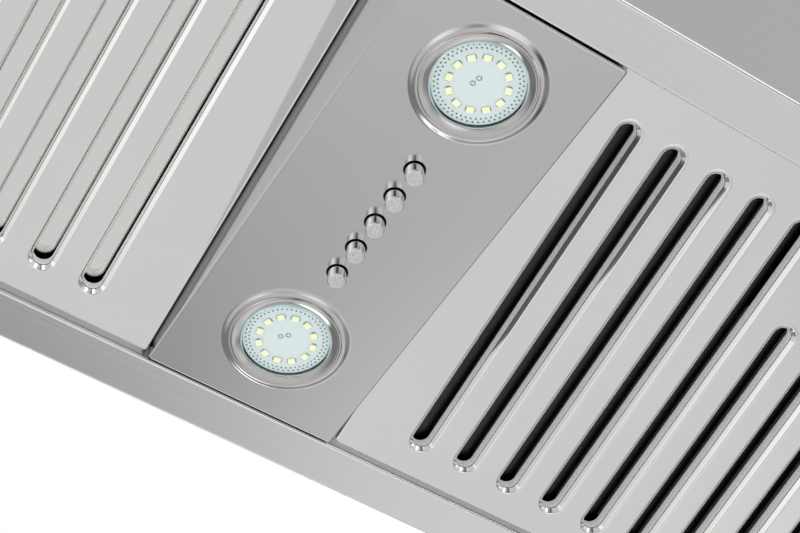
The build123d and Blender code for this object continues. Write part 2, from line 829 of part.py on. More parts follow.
    with BuildPart() as latch_bolt:
        with BuildSketch(face.offset(bolt_z)):
            with Locations((0, (tongue_tip + cover_front) / 2)):
                Rectangle(tongue_width, cover_front - tongue_tip)
            with Locations((0, (cover_front + knob_v + bolt_tail) / 2)):
                Rectangle(bolt_width, knob_v + bolt_tail - cover_front)
        extrude(amount=bolt_sheet)
        with BuildSketch(face.offset(bolt_z)):
            flange_u = (bolt_width - bolt_sheet) / 2
            with Locations(
                (-flange_u, (cover_front + knob_v + bolt_tail) / 2),
                (flange_u, (cover_front + knob_v + bolt_tail) / 2),
            ):
                Rectangle(bolt_sheet, knob_v + bolt_tail - cover_front)
            with Locations((0, spring_front - bolt_sheet / 2)):
                Rectangle(bolt_width, bolt_sheet)
        extrude(amount=bolt_height)
    save(latch_bolt, f"latch_bolt_{side}")

    with BuildPart() as latch_knob:
        knob_foot = face.from_local_coords((0, knob_v, 0))
        knob_normal = face.z_dir
        with BuildSketch(Plane(origin=knob_foot, x_dir=(1, 0, 0), z_dir=(0, -run, rise))):
            with BuildLine():
                Polyline(
                    (0, bolt_z),
                    (knob_neck, bolt_z),
                    (knob_neck, -knob_flare_start),
                    (knob_neck + knob_edge, -knob_flare_end),
                    (knob_radius - knob_edge, -knob_shoulder),
                    (knob_radius, -knob_shoulder - knob_edge),
                    (knob_radius, -knob_height + knob_round),
                    (knob_radius - knob_round, -knob_height),
                    (0, -knob_height),
                    close=True,
                )
            make_face()
        revolve(axis=Axis(knob_foot, knob_normal))
    save(latch_knob, f"latch_knob_{side}")

    with BuildPart() as latch_spring:
        spring_foot = face.from_local_coords(
            (0, spring_front + spring_wire + spring_gap, bolt_z + (bolt_sheet + bolt_height) / 2)
        )
        spring_height = cover_rear - cover_sheet - spring_front - 2 * (spring_wire + spring_gap)
        with BuildLine() as coil:
            Helix(
                pitch=spring_pitch,
                height=spring_height,
                radius=spring_radius,
                center=spring_foot,
                direction=face.y_dir,
            )
        with BuildSketch(Plane(origin=coil.line @ 0, z_dir=coil.line % 0)):
            RegularPolygon(spring_wire, 6)
        sweep(is_frenet=True)
    save(latch_spring, f"latch_spring_{side}")

# ---------------------------------------------------------------- blower
with BuildPart() as blower_box:
    with BuildSketch(Plane.XY.offset(plate_top)):
        with Locations((0, box_y)):
            RectangleRounded(box_width, box_depth, box_corner)
    extrude(amount=box_height)
    with BuildSketch(Plane.XY.offset(plate_top)):
        with Locations((0, box_y)):
            Rectangle(box_width - 2 * box_sheet, box_depth - 2 * box_sheet)
    extrude(amount=box_height - box_sheet, mode=Mode.SUBTRACT)
    with BuildSketch(Plane.XY.offset(plate_top)):
        with Locations((0, box_y)):
            RectangleRounded(box_width + 2 * box_flange, box_depth + 2 * box_flange, box_corner)
            Rectangle(box_width - 2 * box_sheet, box_depth - 2 * box_sheet, mode=Mode.SUBTRACT)
    extrude(amount=box_sheet)
    # way out over the scroll's mouth
    with BuildSketch(Plane.XY.offset(box_top)):
        with Locations((0, (mouth_front_y + mouth_rear_y) / 2)):
            Rectangle(scroll_width - 2 * scroll_sheet, mouth_rear_y - mouth_front_y - 2 * scroll_sheet)
    extrude(amount=-box_sheet, mode=Mode.SUBTRACT)
save(blower_box, "blower_box")

with BuildPart() as scroll:
    arc_1, arc_2, arc_3, arc_4 = scroll_radii
    mouth_z = box_top - box_sheet
    with BuildSketch(Plane.YZ.offset(-scroll_width / 2)):
        with BuildLine():
            outer_wall = Line((mouth_front_y, mouth_z), (mouth_front_y, axis_z))
            lower_left = JernArc(outer_wall @ 1, (0, -1), arc_1, 90)
            lower_right = JernArc(lower_left @ 1, (1, 0), arc_2, 90)
            upper_right = JernArc(lower_right @ 1, (0, 1), arc_3, 90)
            to_tongue = JernArc(upper_right @ 1, (-1, 0), arc_4, scroll_tongue)
            tongue = to_tongue @ 1
            inner_wall = Line(tongue, (tongue.X, mouth_z))
            Line(inner_wall @ 1, outer_wall @ 0)
        make_face()
    extrude(amount=scroll_width)
    mouth = scroll.faces().sort_by(Axis.Z)[-1]
    offset(amount=-scroll_sheet, openings=mouth, kind=Kind.INTERSECTION)
    with BuildSketch(Plane.YZ.offset(-scroll_width / 2)):
        with Locations((axis_y, axis_z)):
            Circle(inlet_radius)
    extrude(amount=scroll_width, mode=Mode.SUBTRACT)
save(scroll, "scroll")

ring_bore = inlet_radius - inlet_ring_gap
with BuildPart() as inlet_rings:
    for sign in (-1, 1):
        with BuildSketch(Plane.XY.offset(axis_z)):
            with BuildLine():
                face_x = scroll_width / 2
                Polyline(
                    (sign * (face_x + scroll_sheet), axis_y + inlet_radius + inlet_lip),
                    (sign * face_x, axis_y + inlet_radius + inlet_lip),
                    (sign * face_x, axis_y + ring_bore),
                    (sign * (face_x - inlet_ring_depth), axis_y + ring_bore - scroll_sheet),
                    (sign * (face_x - inlet_ring_depth), axis_y + ring_bore - 2 * scroll_sheet),
                    (sign * (face_x + scroll_sheet / 2), axis_y + ring_bore - scroll_sheet),
                    close=True,
                )
            make_face()
        revolve(axis=Axis((0, axis_y, axis_z), (1, 0, 0)))
save(inlet_rings, "inlet_rings")

# One blade of the wheel, curved forward, with its middle on the origin.
with BuildSketch() as blade:
    with BuildLine():
        half = blade_depth / 2
        lower = ThreePointArc((-half, 0), (0.1 * blade_depth, blade_curve / 4), (half, blade_curve))
        upper = ThreePointArc(
            (half, blade_curve + blade_thickness),
            (0.1 * blade_depth, blade_curve / 4 + blade_thickness),
            (-half, blade_thickness),
        )
        Line(lower @ 1, upper @ 0)
        Line(upper @ 1, lower @ 0)
    make_face()

with BuildPart() as impeller:
    with BuildSketch(Plane.YZ.offset(-impeller_width / 2)):
        with Locations((axis_y, axis_z)):
            with PolarLocations(impeller_radius - (blade_depth + end_ring) / 2, blade_count):
                add(blade.sketch)
    extrude(amount=impeller_width)
    for x in (-impeller_width / 2, impeller_width / 2 - end_ring):
        with BuildSketch(Plane.YZ.offset(x)):
            with Locations((axis_y, axis_z)):
                Circle(impeller_radius)
                Circle(impeller_radius - end_ring, mode=Mode.SUBTRACT)
        extrude(amount=end_ring)
    with BuildSketch(Plane.YZ.offset(-disc_thickness / 2)):
        with Locations((axis_y, axis_z)):
            Circle(impeller_radius - end_ring)
    extrude(amount=disc_thickness)
    with BuildSketch(Plane.YZ.offset(-hub_length / 2)):
        with Locations((axis_y, axis_z)):
            Circle(hub_radius)
    extrude(amount=hub_length)
    with BuildSketch(Plane.YZ.offset(-hub_length / 2)):
        with Locations((axis_y, axis_z)):
            Circle(shaft_radius)
    extrude(amount=hub_length, mode=Mode.SUBTRACT)
save(impeller, "impeller")

# The motor reaches into the wheel from the left inlet.
motor_face = -hub_length / 2 - motor_clearance
with BuildPart() as motor:
    with BuildSketch(Plane.YZ.offset(motor_face)):
        with Locations((axis_y, axis_z)):
            Circle(motor_radius)
    extrude(amount=-motor_length)
    fillet(motor.edges().group_by(Axis.X)[0] + motor.edges().group_by(Axis.X)[-1], radius=motor_corner)
    with BuildSketch(Plane.YZ.offset(motor_face)):
        with Locations((axis_y, axis_z)):
            Circle(shaft_radius + shaft_gap)
    extrude(amount=-motor_length / 2, mode=Mode.SUBTRACT)
save(motor, "motor")

with BuildPart() as motor_shaft:
    with BuildSketch(Plane.YZ.offset(hub_length / 2 + shaft_end)):
        with Locations((axis_y, axis_z)):
            Circle(shaft_radius)
    extrude(amount=motor_face - motor_length / 2 + shaft_rest - hub_length / 2 - shaft_end)
save(motor_shaft, "motor_shaft")

with BuildPart() as motor_mount:
    mount_x = -scroll_width / 2 - scroll_sheet
    with BuildSketch(Plane.YZ.offset(mount_x)):
        with Locations((axis_y, axis_z)):
            Circle(motor_radius + mount_ring)
            with PolarLocations((motor_radius + mount_foot) / 2, mount_arms, start_angle=30):
                Rectangle(mount_foot - motor_radius, mount_width)
            Circle(motor_radius, mode=Mode.SUBTRACT)
    extrude(amount=-mount_sheet)
save(motor_mount, "motor_mount")

with BuildPart() as capacitor:
    capacitor_x = box_width / 2 - box_sheet - capacitor_radius
    with BuildSketch(Plane.XZ.offset(-box_y - capacitor_length / 2)):
        with Locations((capacitor_x, axis_z)):
            Circle(capacitor_radius)
    extrude(amount=capacitor_length)
    fillet(capacitor.edges(), radius=capacitor_corner)
save(capacitor, "capacitor")

# ---------------------------------------------------------------- duct collar and damper
duct_inner = duct_radius - duct_wall
with BuildPart() as duct_collar:
    with BuildSketch(Plane.XY.offset(box_top)):
        with Locations((0, collar_y)):
            Circle(duct_radius)
            Circle(duct_inner, mode=Mode.SUBTRACT)
    extrude(amount=duct_height)
    with BuildSketch(Plane.XY.offset(box_top)):
        with Locations((0, collar_y)):
            Circle(duct_radius + duct_flange)
            Circle(duct_inner, mode=Mode.SUBTRACT)
    extrude(amount=duct_flange_thickness)
    stop_top = pin_z - flap_thickness / 2 - stop_gap
    with BuildSketch(Plane.XY.offset(stop_top)):
        with Locations((0, collar_y)):
            Circle(duct_inner + duct_wall / 2)
            Circle(duct_inner - stop_width, mode=Mode.SUBTRACT)
    extrude(amount=-stop_height)
    with BuildSketch(Plane.YZ.offset(-duct_radius)):
        with Locations((collar_y, pin_z)):
            Circle(pin_radius + pin_gap)
    extrude(amount=2 * duct_radius, mode=Mode.SUBTRACT)
save(duct_collar, "duct_collar")

with BuildPart() as damper_pin:
    with BuildSketch(Plane.YZ.offset(-duct_radius)):
        with Locations((collar_y, pin_z)):
            Circle(pin_radius)
    extrude(amount=2 * duct_radius)
save(damper_pin, "damper_pin")

# Two half-round flaps swing up from one pin, with interleaved knuckles.
knuckle_radius = pin_radius + pin_gap + knuckle_wall
knuckle_step = knuckle_length + knuckle_gap
for place, sign, first in (("front", -1, -1.5), ("rear", 1, -0.5)):
    with BuildPart() as damper:
        with BuildSketch(Plane.XY.offset(pin_z - flap_thickness / 2)):
            with Locations((0, collar_y)):
                Circle(duct_inner - damper_gap)
            with Locations((0, collar_y - sign * duct_radius)):
                Rectangle(2 * duct_radius, 2 * (duct_radius + knuckle_radius + knuckle_gap), mode=Mode.SUBTRACT)
            for step in (first, first + 2):
                with Locations((step * knuckle_step, collar_y + sign * (knuckle_radius + knuckle_gap) / 2)):
                    Rectangle(knuckle_length, knuckle_radius + 2 * knuckle_gap)
        extrude(amount=flap_thickness)
        for step in (first, first + 2):
            with BuildSketch(Plane.YZ.offset(step * knuckle_step - knuckle_length / 2)):
                with Locations((collar_y, pin_z)):
                    Circle(knuckle_radius)
            extrude(amount=knuckle_length)
        with BuildSketch(Plane.YZ.offset(-duct_radius)):
            with Locations((collar_y, pin_z)):
                Circle(pin_radius + pin_gap)
        extrude(amount=2 * duct_radius, mode=Mode.SUBTRACT)
    save(damper, f"damper_{place}")

# ---------------------------------------------------------------- terminal box
with BuildPart() as terminal_box:
    with BuildSketch(Plane.XY.offset(plate_top)):
        with Locations((terminal_x, terminal_y)):
            RectangleRounded(terminal_width, terminal_depth, terminal_corner)
    extrude(amount=terminal_height)
    with BuildSketch(Plane.XY.offset(plate_top + terminal_sheet)):
        with Locations((terminal_x, terminal_y)):
            Rectangle(terminal_width - 2 * terminal_sheet, terminal_depth - 2 * terminal_sheet)
    extrude(amount=terminal_height, mode=Mode.SUBTRACT)
    gland_z = plate_top + terminal_height / 2
    with BuildSketch(Plane.YZ.offset(terminal_x)):
        with Locations((terminal_y, gland_z)):
            Circle(gland_body)
    extrude(amount=terminal_width, mode=Mode.SUBTRACT)
save(terminal_box, "terminal_box")

with BuildPart() as terminal_cover:
    with BuildSketch(Plane.XY.offset(plate_top + terminal_height)):
        with Locations((terminal_x, terminal_y)):
            RectangleRounded(terminal_width, terminal_depth, terminal_corner)
    extrude(amount=terminal_sheet)
    with BuildSketch(Plane.XY.offset(plate_top + terminal_height)):
        with Locations((terminal_x, terminal_y)):
            rim_inset = 2 * (terminal_sheet + cover_gap)
            Rectangle(terminal_width - rim_inset, terminal_depth - rim_inset)
            Rectangle(
                terminal_width - rim_inset - 2 * terminal_sheet,
                terminal_depth - rim_inset - 2 * terminal_sheet,
                mode=Mode.SUBTRACT,
            )
    extrude(amount=-cover_rim)
save(terminal_cover, "terminal_cover")

with BuildPart() as cable_gland:
    wall_x = terminal_x + terminal_width / 2
    with BuildSketch(Plane.YZ.offset(wall_x - terminal_sheet - gland_inside)):
        with Locations((terminal_y, gland_z)):
            Circle(gland_body)
    extrude(amount=gland_length + terminal_sheet + gland_inside)
    with BuildSketch(Plane.YZ.offset(wall_x)):
        with Locations((terminal_y, gland_z)):
            RegularPolygon(gland_nut, 6)
    extrude(amount=gland_nut_thickness)
    with BuildSketch(Plane.YZ.offset(wall_x - terminal_sheet - gland_locknut_thickness)):
        with Locations((terminal_y, gland_z)):
            RegularPolygon(gland_nut, 6)
    extrude(amount=gland_locknut_thickness)
    with BuildSketch(Plane.YZ.offset(wall_x - terminal_sheet - gland_inside)):
        with Locations((terminal_y, gland_z)):
            Circle(gland_bore)
    extrude(amount=gland_length + terminal_sheet + gland_inside, mode=Mode.SUBTRACT)
save(cable_gland, "cable_gland")
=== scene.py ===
"""Range hood insert: its finishes, its fine sheet-metal shapes and its small fasteners.

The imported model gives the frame. X runs along the hood, Y from the front to the rear and Z up, in metres.
"""

import json
import logging
import math
from dataclasses import dataclass
from enum import Enum
from typing import Any, Iterable, Sequence

import bmesh
import bpy
from mathutils import Matrix, Vector, noise
from mathutils.geometry import tessellate_polygon

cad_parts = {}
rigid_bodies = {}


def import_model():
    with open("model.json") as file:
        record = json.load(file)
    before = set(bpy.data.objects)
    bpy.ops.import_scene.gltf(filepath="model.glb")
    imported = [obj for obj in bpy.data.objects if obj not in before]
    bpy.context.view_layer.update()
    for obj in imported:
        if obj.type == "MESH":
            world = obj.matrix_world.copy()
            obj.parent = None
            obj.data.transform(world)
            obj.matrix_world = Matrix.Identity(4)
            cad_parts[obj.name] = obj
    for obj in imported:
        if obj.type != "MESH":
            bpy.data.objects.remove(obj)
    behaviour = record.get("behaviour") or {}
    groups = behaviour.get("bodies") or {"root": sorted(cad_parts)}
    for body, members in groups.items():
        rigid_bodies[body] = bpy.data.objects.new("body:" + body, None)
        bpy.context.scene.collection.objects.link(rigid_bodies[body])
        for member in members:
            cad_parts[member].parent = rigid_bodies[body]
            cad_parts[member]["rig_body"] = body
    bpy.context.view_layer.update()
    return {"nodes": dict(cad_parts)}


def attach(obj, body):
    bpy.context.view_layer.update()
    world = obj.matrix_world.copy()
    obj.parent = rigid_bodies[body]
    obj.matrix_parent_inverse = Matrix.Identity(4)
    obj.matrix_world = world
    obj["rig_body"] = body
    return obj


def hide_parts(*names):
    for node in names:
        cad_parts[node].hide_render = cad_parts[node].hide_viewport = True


LOG = logging.getLogger("hood")
MM = 0.001
SAME_SPOT = 1e-7  # metres within which two points are one
ON_AXIS = 1e-9  # a radius that counts as none
ROUND_END = 0.4995  # of a slot's width, so that its two round corners never meet
Point = tuple[float, float]
Colour = tuple[float, float, float]
SIDES = {"left": -1, "right": 1}
# how a filter stands: its slope in degrees and the rear edge of its outer face
FILTER_TILT = 14.1
FILTER_REAR_Y = 118.4
FILTER_REAR_Z = 8.5
# how each lamp was screwed in: the turn of its first chip, and its test pads from its middle
LAMP_TURNS = {
    "front": (2.847, ((-2.24, 1.12), (-1.28, -2.24))),
    "rear": (2.956, ((-2.93, 0.0), (-0.27, -2.3))),
}
# painted shade: how much a crease's colour is darkened, where a slot's slope turns into its wall
CREASE_PAINTED_SHADE = 0.85


class Grain(Enum):
    """The direction in which a sheet was brushed, as the stretch of its grain along X, Y and Z."""

    ALONG_X = (4.0, 900.0, 900.0)
    ALONG_Y = (900.0, 4.0, 900.0)
    CLOUDY = (60.0, 60.0, 60.0)


# ------------------------------------------------------------------ node trees
class Tree:
    """A node tree under construction, with named inputs and outputs."""

    def __init__(self, name: str, kind: str) -> None:
        """Starts an empty tree.

        Args:
            name: The tree's name.
            kind: GeometryNodeTree or ShaderNodeTree.
        """
        self.group = bpy.data.node_groups.new(name, kind)
        self.entry = self.group.nodes.new("NodeGroupInput")
        self.exit = self.group.nodes.new("NodeGroupOutput")

    def take(self, name: str, kind: str, default: Any = None) -> bpy.types.NodeSocket:
        """Adds a named input.

        Args:
            name: The input's name.
            kind: Its socket type.
            default: Its value where nothing is set.

        Returns:
            The socket that carries it inside the tree.
        """
        item = self.group.interface.new_socket(name, in_out="INPUT", socket_type=kind)
        if default is not None:
            item.default_value = default
        return self.entry.outputs[name]

    def give(self, name: str, kind: str, source: bpy.types.NodeSocket) -> None:
        """Adds a named output, fed by a socket inside the tree."""
        self.group.interface.new_socket(name, in_out="OUTPUT", socket_type=kind)
        self.group.links.new(source, self.exit.inputs[name])

    def add(self, kind: str, inputs: dict[Any, Any] | None = None, **settings: Any) -> bpy.types.Node:
        """Adds a node.

        Args:
            kind: The node's type.
            inputs: Sockets or plain values by input name or number. A list goes to one joined input.
            settings: The node's own properties.

        Returns:
            The node.
        """
        return add_node(self.group, kind, inputs, **settings)

    def sum(self, operation: str, *values: Any) -> bpy.types.NodeSocket:
        """Adds a maths node and returns its result."""
        return self.add("ShaderNodeMath", dict(enumerate(values)), operation=operation).outputs[0]


def add_node(
    tree: bpy.types.NodeTree, kind: str, inputs: dict[Any, Any] | None = None, **settings: Any
) -> bpy.types.Node:
    """Adds a node to any tree and joins or sets its inputs.

    Args:
        tree: The tree.
        kind: The node's type.
        inputs: Sockets or plain values by input name or number.
        settings: The node's own properties.

    Returns:
        The node.
    """
    node = tree.nodes.new(kind)
    for key, value in settings.items():
        setattr(node, key, value)
    for key, value in (inputs or {}).items():
        for each in value if isinstance(value, list) else [value]:
            if isinstance(each, bpy.types.NodeSocket):
                tree.links.new(each, node.inputs[key])
            else:
                node.inputs[key].default_value = each
    return node


def place_group(
    tree: bpy.types.NodeTree, group: bpy.types.NodeTree, values: dict[str, Any]
) -> bpy.types.Node:
    """Places a shared effect in a material.

    Args:
        tree: The material's tree.
        group: The effect.
        values: The effect's inputs, by name.

    Returns:
        The effect's node.
    """
    node = tree.nodes.new("ShaderNodeGroup")
    node.node_tree = group
    for key, value in values.items():
        node.inputs[key].default_value = value
    return node


# ------------------------------------------------------------------ effects shared by the finishes
def make_brushing() -> bpy.types.NodeTree:
    """Makes the shader group for brushed and rolled metal.

    Returns:
        A group that puts out a colour, a roughness and a bump height, with streaks and a broad unevenness.
    """
    tree = Tree("brushing", "ShaderNodeTree")
    stretch = tree.take("Stretch", "NodeSocketVector", (4.0, 900.0, 900.0))
    base = tree.take("Base", "NodeSocketColor", (0.6, 0.6, 0.6, 1))
    depth = tree.take("Tone Depth", "NodeSocketFloat", 0.05)
    rough = tree.take("Roughness", "NodeSocketFloat", 0.3)
    swing = tree.take("Roughness Swing", "NodeSocketFloat", 0.08)
    smudge = tree.take("Smudge", "NodeSocketFloat", 0.04)
    place = tree.add("ShaderNodeTexCoord").outputs["Object"]
    along = tree.add("ShaderNodeVectorMath", {0: place, 1: stretch}, operation="MULTIPLY").outputs[0]
    fine = tree.add(
        "ShaderNodeTexNoise", {"Vector": along, "Scale": 1.0, "Detail": 4.0, "Roughness": 0.7}
    ).outputs[0]
    cloud = tree.add("ShaderNodeTexNoise", {"Vector": place, "Scale": 9.0, "Detail": 3.0}).outputs[0]
    streak = tree.sum("SUBTRACT", fine, 0.5)
    patch = tree.sum("SUBTRACT", cloud, 0.5)
    swell = tree.sum("ADD", tree.sum("MULTIPLY", streak, depth), tree.sum("MULTIPLY", patch, smudge))
    tone = tree.sum("ADD", 1.0, swell)
    colour = tree.add("ShaderNodeVectorMath", {0: base, "Scale": tone}, operation="SCALE").outputs[0]
    uneven = tree.sum("ADD", tree.sum("MULTIPLY", streak, swing), tree.sum("MULTIPLY", patch, smudge))
    tree.give("Color", "NodeSocketColor", colour)
    tree.give("Roughness", "NodeSocketFloat", tree.sum("ADD", rough, uneven))
    tree.give("Height", "NodeSocketFloat", fine)
    return tree.group


def make_spangle() -> bpy.types.NodeTree:
    """Makes the shader group for zinc crystals.

    Returns:
        A group that puts out a colour and a roughness, both changing from crystal to crystal.
    """
    tree = Tree("spangle", "ShaderNodeTree")
    base = tree.take("Base", "NodeSocketColor", (0.6, 0.6, 0.6, 1))
    depth = tree.take("Tone Depth", "NodeSocketFloat", 0.2)
    rough = tree.take("Roughness", "NodeSocketFloat", 0.4)
    size = tree.take("Crystals", "NodeSocketFloat", 120.0)
    place = tree.add("ShaderNodeTexCoord").outputs["Object"]
    warp = tree.add("ShaderNodeTexNoise", {"Vector": place, "Scale": 90.0}).outputs["Color"]
    reach = (0.012, 0.012, 0.012)
    bent = tree.add("ShaderNodeVectorMath", {0: warp, 1: reach, 2: place}, operation="MULTIPLY_ADD")
    cells = tree.add("ShaderNodeTexVoronoi", {"Vector": bent.outputs[0], "Scale": size})
    pick = tree.add("ShaderNodeSeparateColor", {0: cells.outputs["Color"]})
    tone = tree.sum("ADD", 1.0, tree.sum("MULTIPLY", tree.sum("SUBTRACT", pick.outputs[0], 0.5), depth))
    colour = tree.add("ShaderNodeVectorMath", {0: base, "Scale": tone}, operation="SCALE").outputs[0]
    tree.give("Color", "NodeSocketColor", colour)
    uneven = tree.sum("MULTIPLY", pick.outputs[1], 0.14)
    tree.give("Roughness", "NodeSocketFloat", tree.sum("ADD", rough, uneven))
    return tree.group


def make_layering() -> bpy.types.NodeTree:
    """Makes the shader group that changes a finish past a plane.

    Returns:
        A group that puts out a colour, a roughness, a metallic and a glow, which is painted light. Past the
        plane they go over to a second look, and where the line has a width, a dark crease of painted shade
        runs just before it.
    """
    tree = Tree("layering", "ShaderNodeTree")
    colour = tree.take("Color", "NodeSocketColor", (0.6, 0.6, 0.6, 1))
    rough = tree.take("Roughness", "NodeSocketFloat", 0.3)
    tint = tree.take("Deep Tint", "NodeSocketColor", (0.1, 0.1, 0.1, 1))
    deep_rough = tree.take("Deep Roughness", "NodeSocketFloat", 0.5)
    metallic = tree.take("Deep Metallic", "NodeSocketFloat", 1.0)
    glow = tree.take("Deep Glow", "NodeSocketFloat", 0.0)
    way = tree.take("Way", "NodeSocketVector", (0.0, 0.0, 1.0))
    start = tree.take("Start", "NodeSocketFloat", 0.0)
    end = tree.take("End", "NodeSocketFloat", 0.001)
    line = tree.take("Line", "NodeSocketFloat", 0.0)
    place = tree.add("ShaderNodeTexCoord").outputs["Object"]
    depth = tree.add("ShaderNodeVectorMath", {0: place, 1: way}, operation="DOT_PRODUCT").outputs["Value"]

    def share_at(reached: bpy.types.NodeSocket) -> bpy.types.NodeSocket:
        """How far that depth has gone over to the second look, from 0 to 1."""
        limits = {"Value": reached, 1: start, 2: end, 3: 0.0, 4: 1.0}
        return tree.add("ShaderNodeMapRange", limits).outputs[0]

    share = share_at(depth)
    # painted shade: a band of the line's width just before the plane is darkened, as a crease
    crease = tree.sum("SUBTRACT", share_at(tree.sum("ADD", depth, line)), share)
    shade = tree.sum("SUBTRACT", 1.0, tree.sum("MULTIPLY", crease, CREASE_PAINTED_SHADE))
    deep = tree.add("ShaderNodeVectorMath", {0: colour, 1: tint}, operation="MULTIPLY").outputs[0]
    mixed = tree.add("ShaderNodeMix", {0: share, 6: colour, 7: deep}, data_type="RGBA").outputs[2]
    shaded = tree.add("ShaderNodeVectorMath", {0: mixed, "Scale": shade}, operation="SCALE").outputs[0]
    # painted light: past the plane the layer gives off a grey glow, though it is no lamp
    lit = tree.sum("MULTIPLY", glow, share)
    glowing = tree.add("ShaderNodeCombineColor", {0: lit, 1: lit, 2: lit}).outputs[0]
    spread = tree.sum("MULTIPLY", tree.sum("SUBTRACT", deep_rough, rough), share)
    dulled = tree.sum("MULTIPLY", tree.sum("SUBTRACT", metallic, 1.0), share)
    tree.give("Color", "NodeSocketColor", shaded)
    tree.give("Roughness", "NodeSocketFloat", tree.sum("ADD", rough, spread))
    tree.give("Metallic", "NodeSocketFloat", tree.sum("ADD", 1.0, dulled))
    tree.give("Glow", "NodeSocketColor", glowing)
    return tree.group


# ------------------------------------------------------------------ finishes
@dataclass(frozen=True)
class Layer:
    """A second look past a plane, with the plane's direction and its start and end in millimetres."""

    tint: Colour
    roughness: float
    metallic: float
    way: tuple[float, float, float]
    start: float
    end: float
    # painted shade: the width of the dark crease before the plane
    line: float = 0.0
    # painted light: the strength of the glow past the plane
    glow: float = 0.0

    def values(self) -> dict[str, Any]:
        """What the layering group takes from this layer.

        Returns:
            The group's inputs, by name.
        """
        return {
            "Deep Tint": (*self.tint, 1),
            "Deep Roughness": self.roughness,
            "Deep Metallic": self.metallic,
            "Deep Glow": self.glow,
            "Way": self.way,
            "Start": self.start * MM,
            "End": self.end * MM,
            "Line": self.line * MM,
        }


@dataclass(frozen=True)
class Finish:
    """What every finish has: a name and a colour."""

    name: str
    colour: Colour

    def start(self) -> tuple[bpy.types.Material, bpy.types.NodeTree, bpy.types.Node]:
        """Makes the empty material.

        Returns:
            The material, its tree and its surface shader.
        """
        material = bpy.data.materials.new(self.name)
        material.use_nodes = True
        shader = material.node_tree.nodes["Principled BSDF"]
        shader.inputs["Base Color"].default_value = (*self.colour, 1)
        return material, material.node_tree, shader


@dataclass(frozen=True)
class Brushed(Finish):
    """A surface with a fine grain: brushed, rolled, turned or cast metal, and mouldings and enamel."""

    grain: Grain = Grain.ALONG_X
    roughness: float = 0.3
    swing: float = 0.1
    depth: float = 0.06
    smudge: float = 0.04
    bump: float = 0.05
    metallic: float = 1.0
    # painted light: a glow in the finish's own colour, for parts that are no lamp
    glow: float = 0.0
    layer: Layer | None = None

    def make(self, brushing: bpy.types.NodeTree, layering: bpy.types.NodeTree) -> bpy.types.Material:
        """Makes the material around the shared brushing group.

        Args:
            brushing: The group for the grain.
            layering: The group for a second look past a plane.

        Returns:
            The material.
        """
        material, tree, shader = self.start()
        values = {
            "Stretch": self.grain.value,
            "Base": (*self.colour, 1),
            "Tone Depth": self.depth,
            "Roughness": self.roughness,
            "Roughness Swing": self.swing,
            "Smudge": self.smudge,
        }
        effect = place_group(tree, brushing, values)
        shader.inputs["Metallic"].default_value = self.metallic
        # painted light: the finish gives off its own colour by its glow
        shader.inputs["Emission Color"].default_value = (*self.colour, 1)
        shader.inputs["Emission Strength"].default_value = self.glow
        last = effect
        if self.layer:
            # with a layer, the painted glow comes from the layer past its plane
            last = place_group(tree, layering, self.layer.values())
            shader.inputs["Emission Strength"].default_value = 1.0
            tree.links.new(last.outputs["Glow"], shader.inputs["Emission Color"])
            for key in ("Color", "Roughness"):
                tree.links.new(effect.outputs[key], last.inputs[key])
            tree.links.new(last.outputs["Metallic"], shader.inputs["Metallic"])
        tree.links.new(last.outputs["Color"], shader.inputs["Base Color"])
        tree.links.new(last.outputs["Roughness"], shader.inputs["Roughness"])
        if self.bump:
            relief = {"Height": effect.outputs["Height"], "Strength": self.bump, "Distance": 0.0002}
            bump = add_node(tree, "ShaderNodeBump", relief)
            tree.links.new(bump.outputs[0], shader.inputs["Normal"])
        return material


@dataclass(frozen=True)
class Zinc(Finish):
    """Galvanised sheet."""

    roughness: float = 0.36
    depth: float = 0.16
    crystals: float = 130.0

    def make(self, spangle: bpy.types.NodeTree) -> bpy.types.Material:
        """Makes the material around the shared spangle group.

        Args:
            spangle: The group for the zinc crystals.

        Returns:
            The material.
        """
        material, tree, shader = self.start()
        values = {
            "Base": (*self.colour, 1),
            "Tone Depth": self.depth,
            "Roughness": self.roughness,
            "Crystals": self.crystals,
        }
        effect = place_group(tree, spangle, values)
        shader.inputs["Metallic"].default_value = 1.0
        tree.links.new(effect.outputs["Color"], shader.inputs["Base Color"])
        tree.links.new(effect.outputs["Roughness"], shader.inputs["Roughness"])
        return material


@dataclass(frozen=True)
class Glass(Finish):
    """Clear moulded glass."""

    roughness: float = 0.02
    ior: float = 1.25
    ripple: float = 0.02

    def make(self) -> bpy.types.Material:
        """Makes the material, with a faint ripple in its surface.

        Returns:
            The material, which lets light through to what lies behind it.
        """
        material, tree, shader = self.start()
        shader.inputs["Transmission Weight"].default_value = 1.0
        shader.inputs["Roughness"].default_value = self.roughness
        shader.inputs["IOR"].default_value = self.ior
        place = add_node(tree, "ShaderNodeTexCoord").outputs["Object"]
        ripple = add_node(tree, "ShaderNodeTexNoise", {"Vector": place, "Scale": 300.0})
        relief = {"Height": ripple.outputs[0], "Strength": self.ripple, "Distance": 0.0001}
        bump = add_node(tree, "ShaderNodeBump", relief)
        tree.links.new(bump.outputs[0], shader.inputs["Normal"])
        clear = add_node(tree, "ShaderNodeBsdfTransparent", {"Color": (*self.colour, 1)}).outputs[0]
        path = add_node(tree, "ShaderNodeLightPath").outputs
        rays = {0: path["Is Shadow Ray"], 1: path["Is Diffuse Ray"]}
        soft = add_node(tree, "ShaderNodeMath", rays, operation="MAXIMUM").outputs[0]
        mixed = add_node(tree, "ShaderNodeMixShader", {0: soft, 1: shader.outputs[0], 2: clear}).outputs[0]
        tree.links.new(mixed, tree.nodes["Material Output"].inputs["Surface"])
        return material


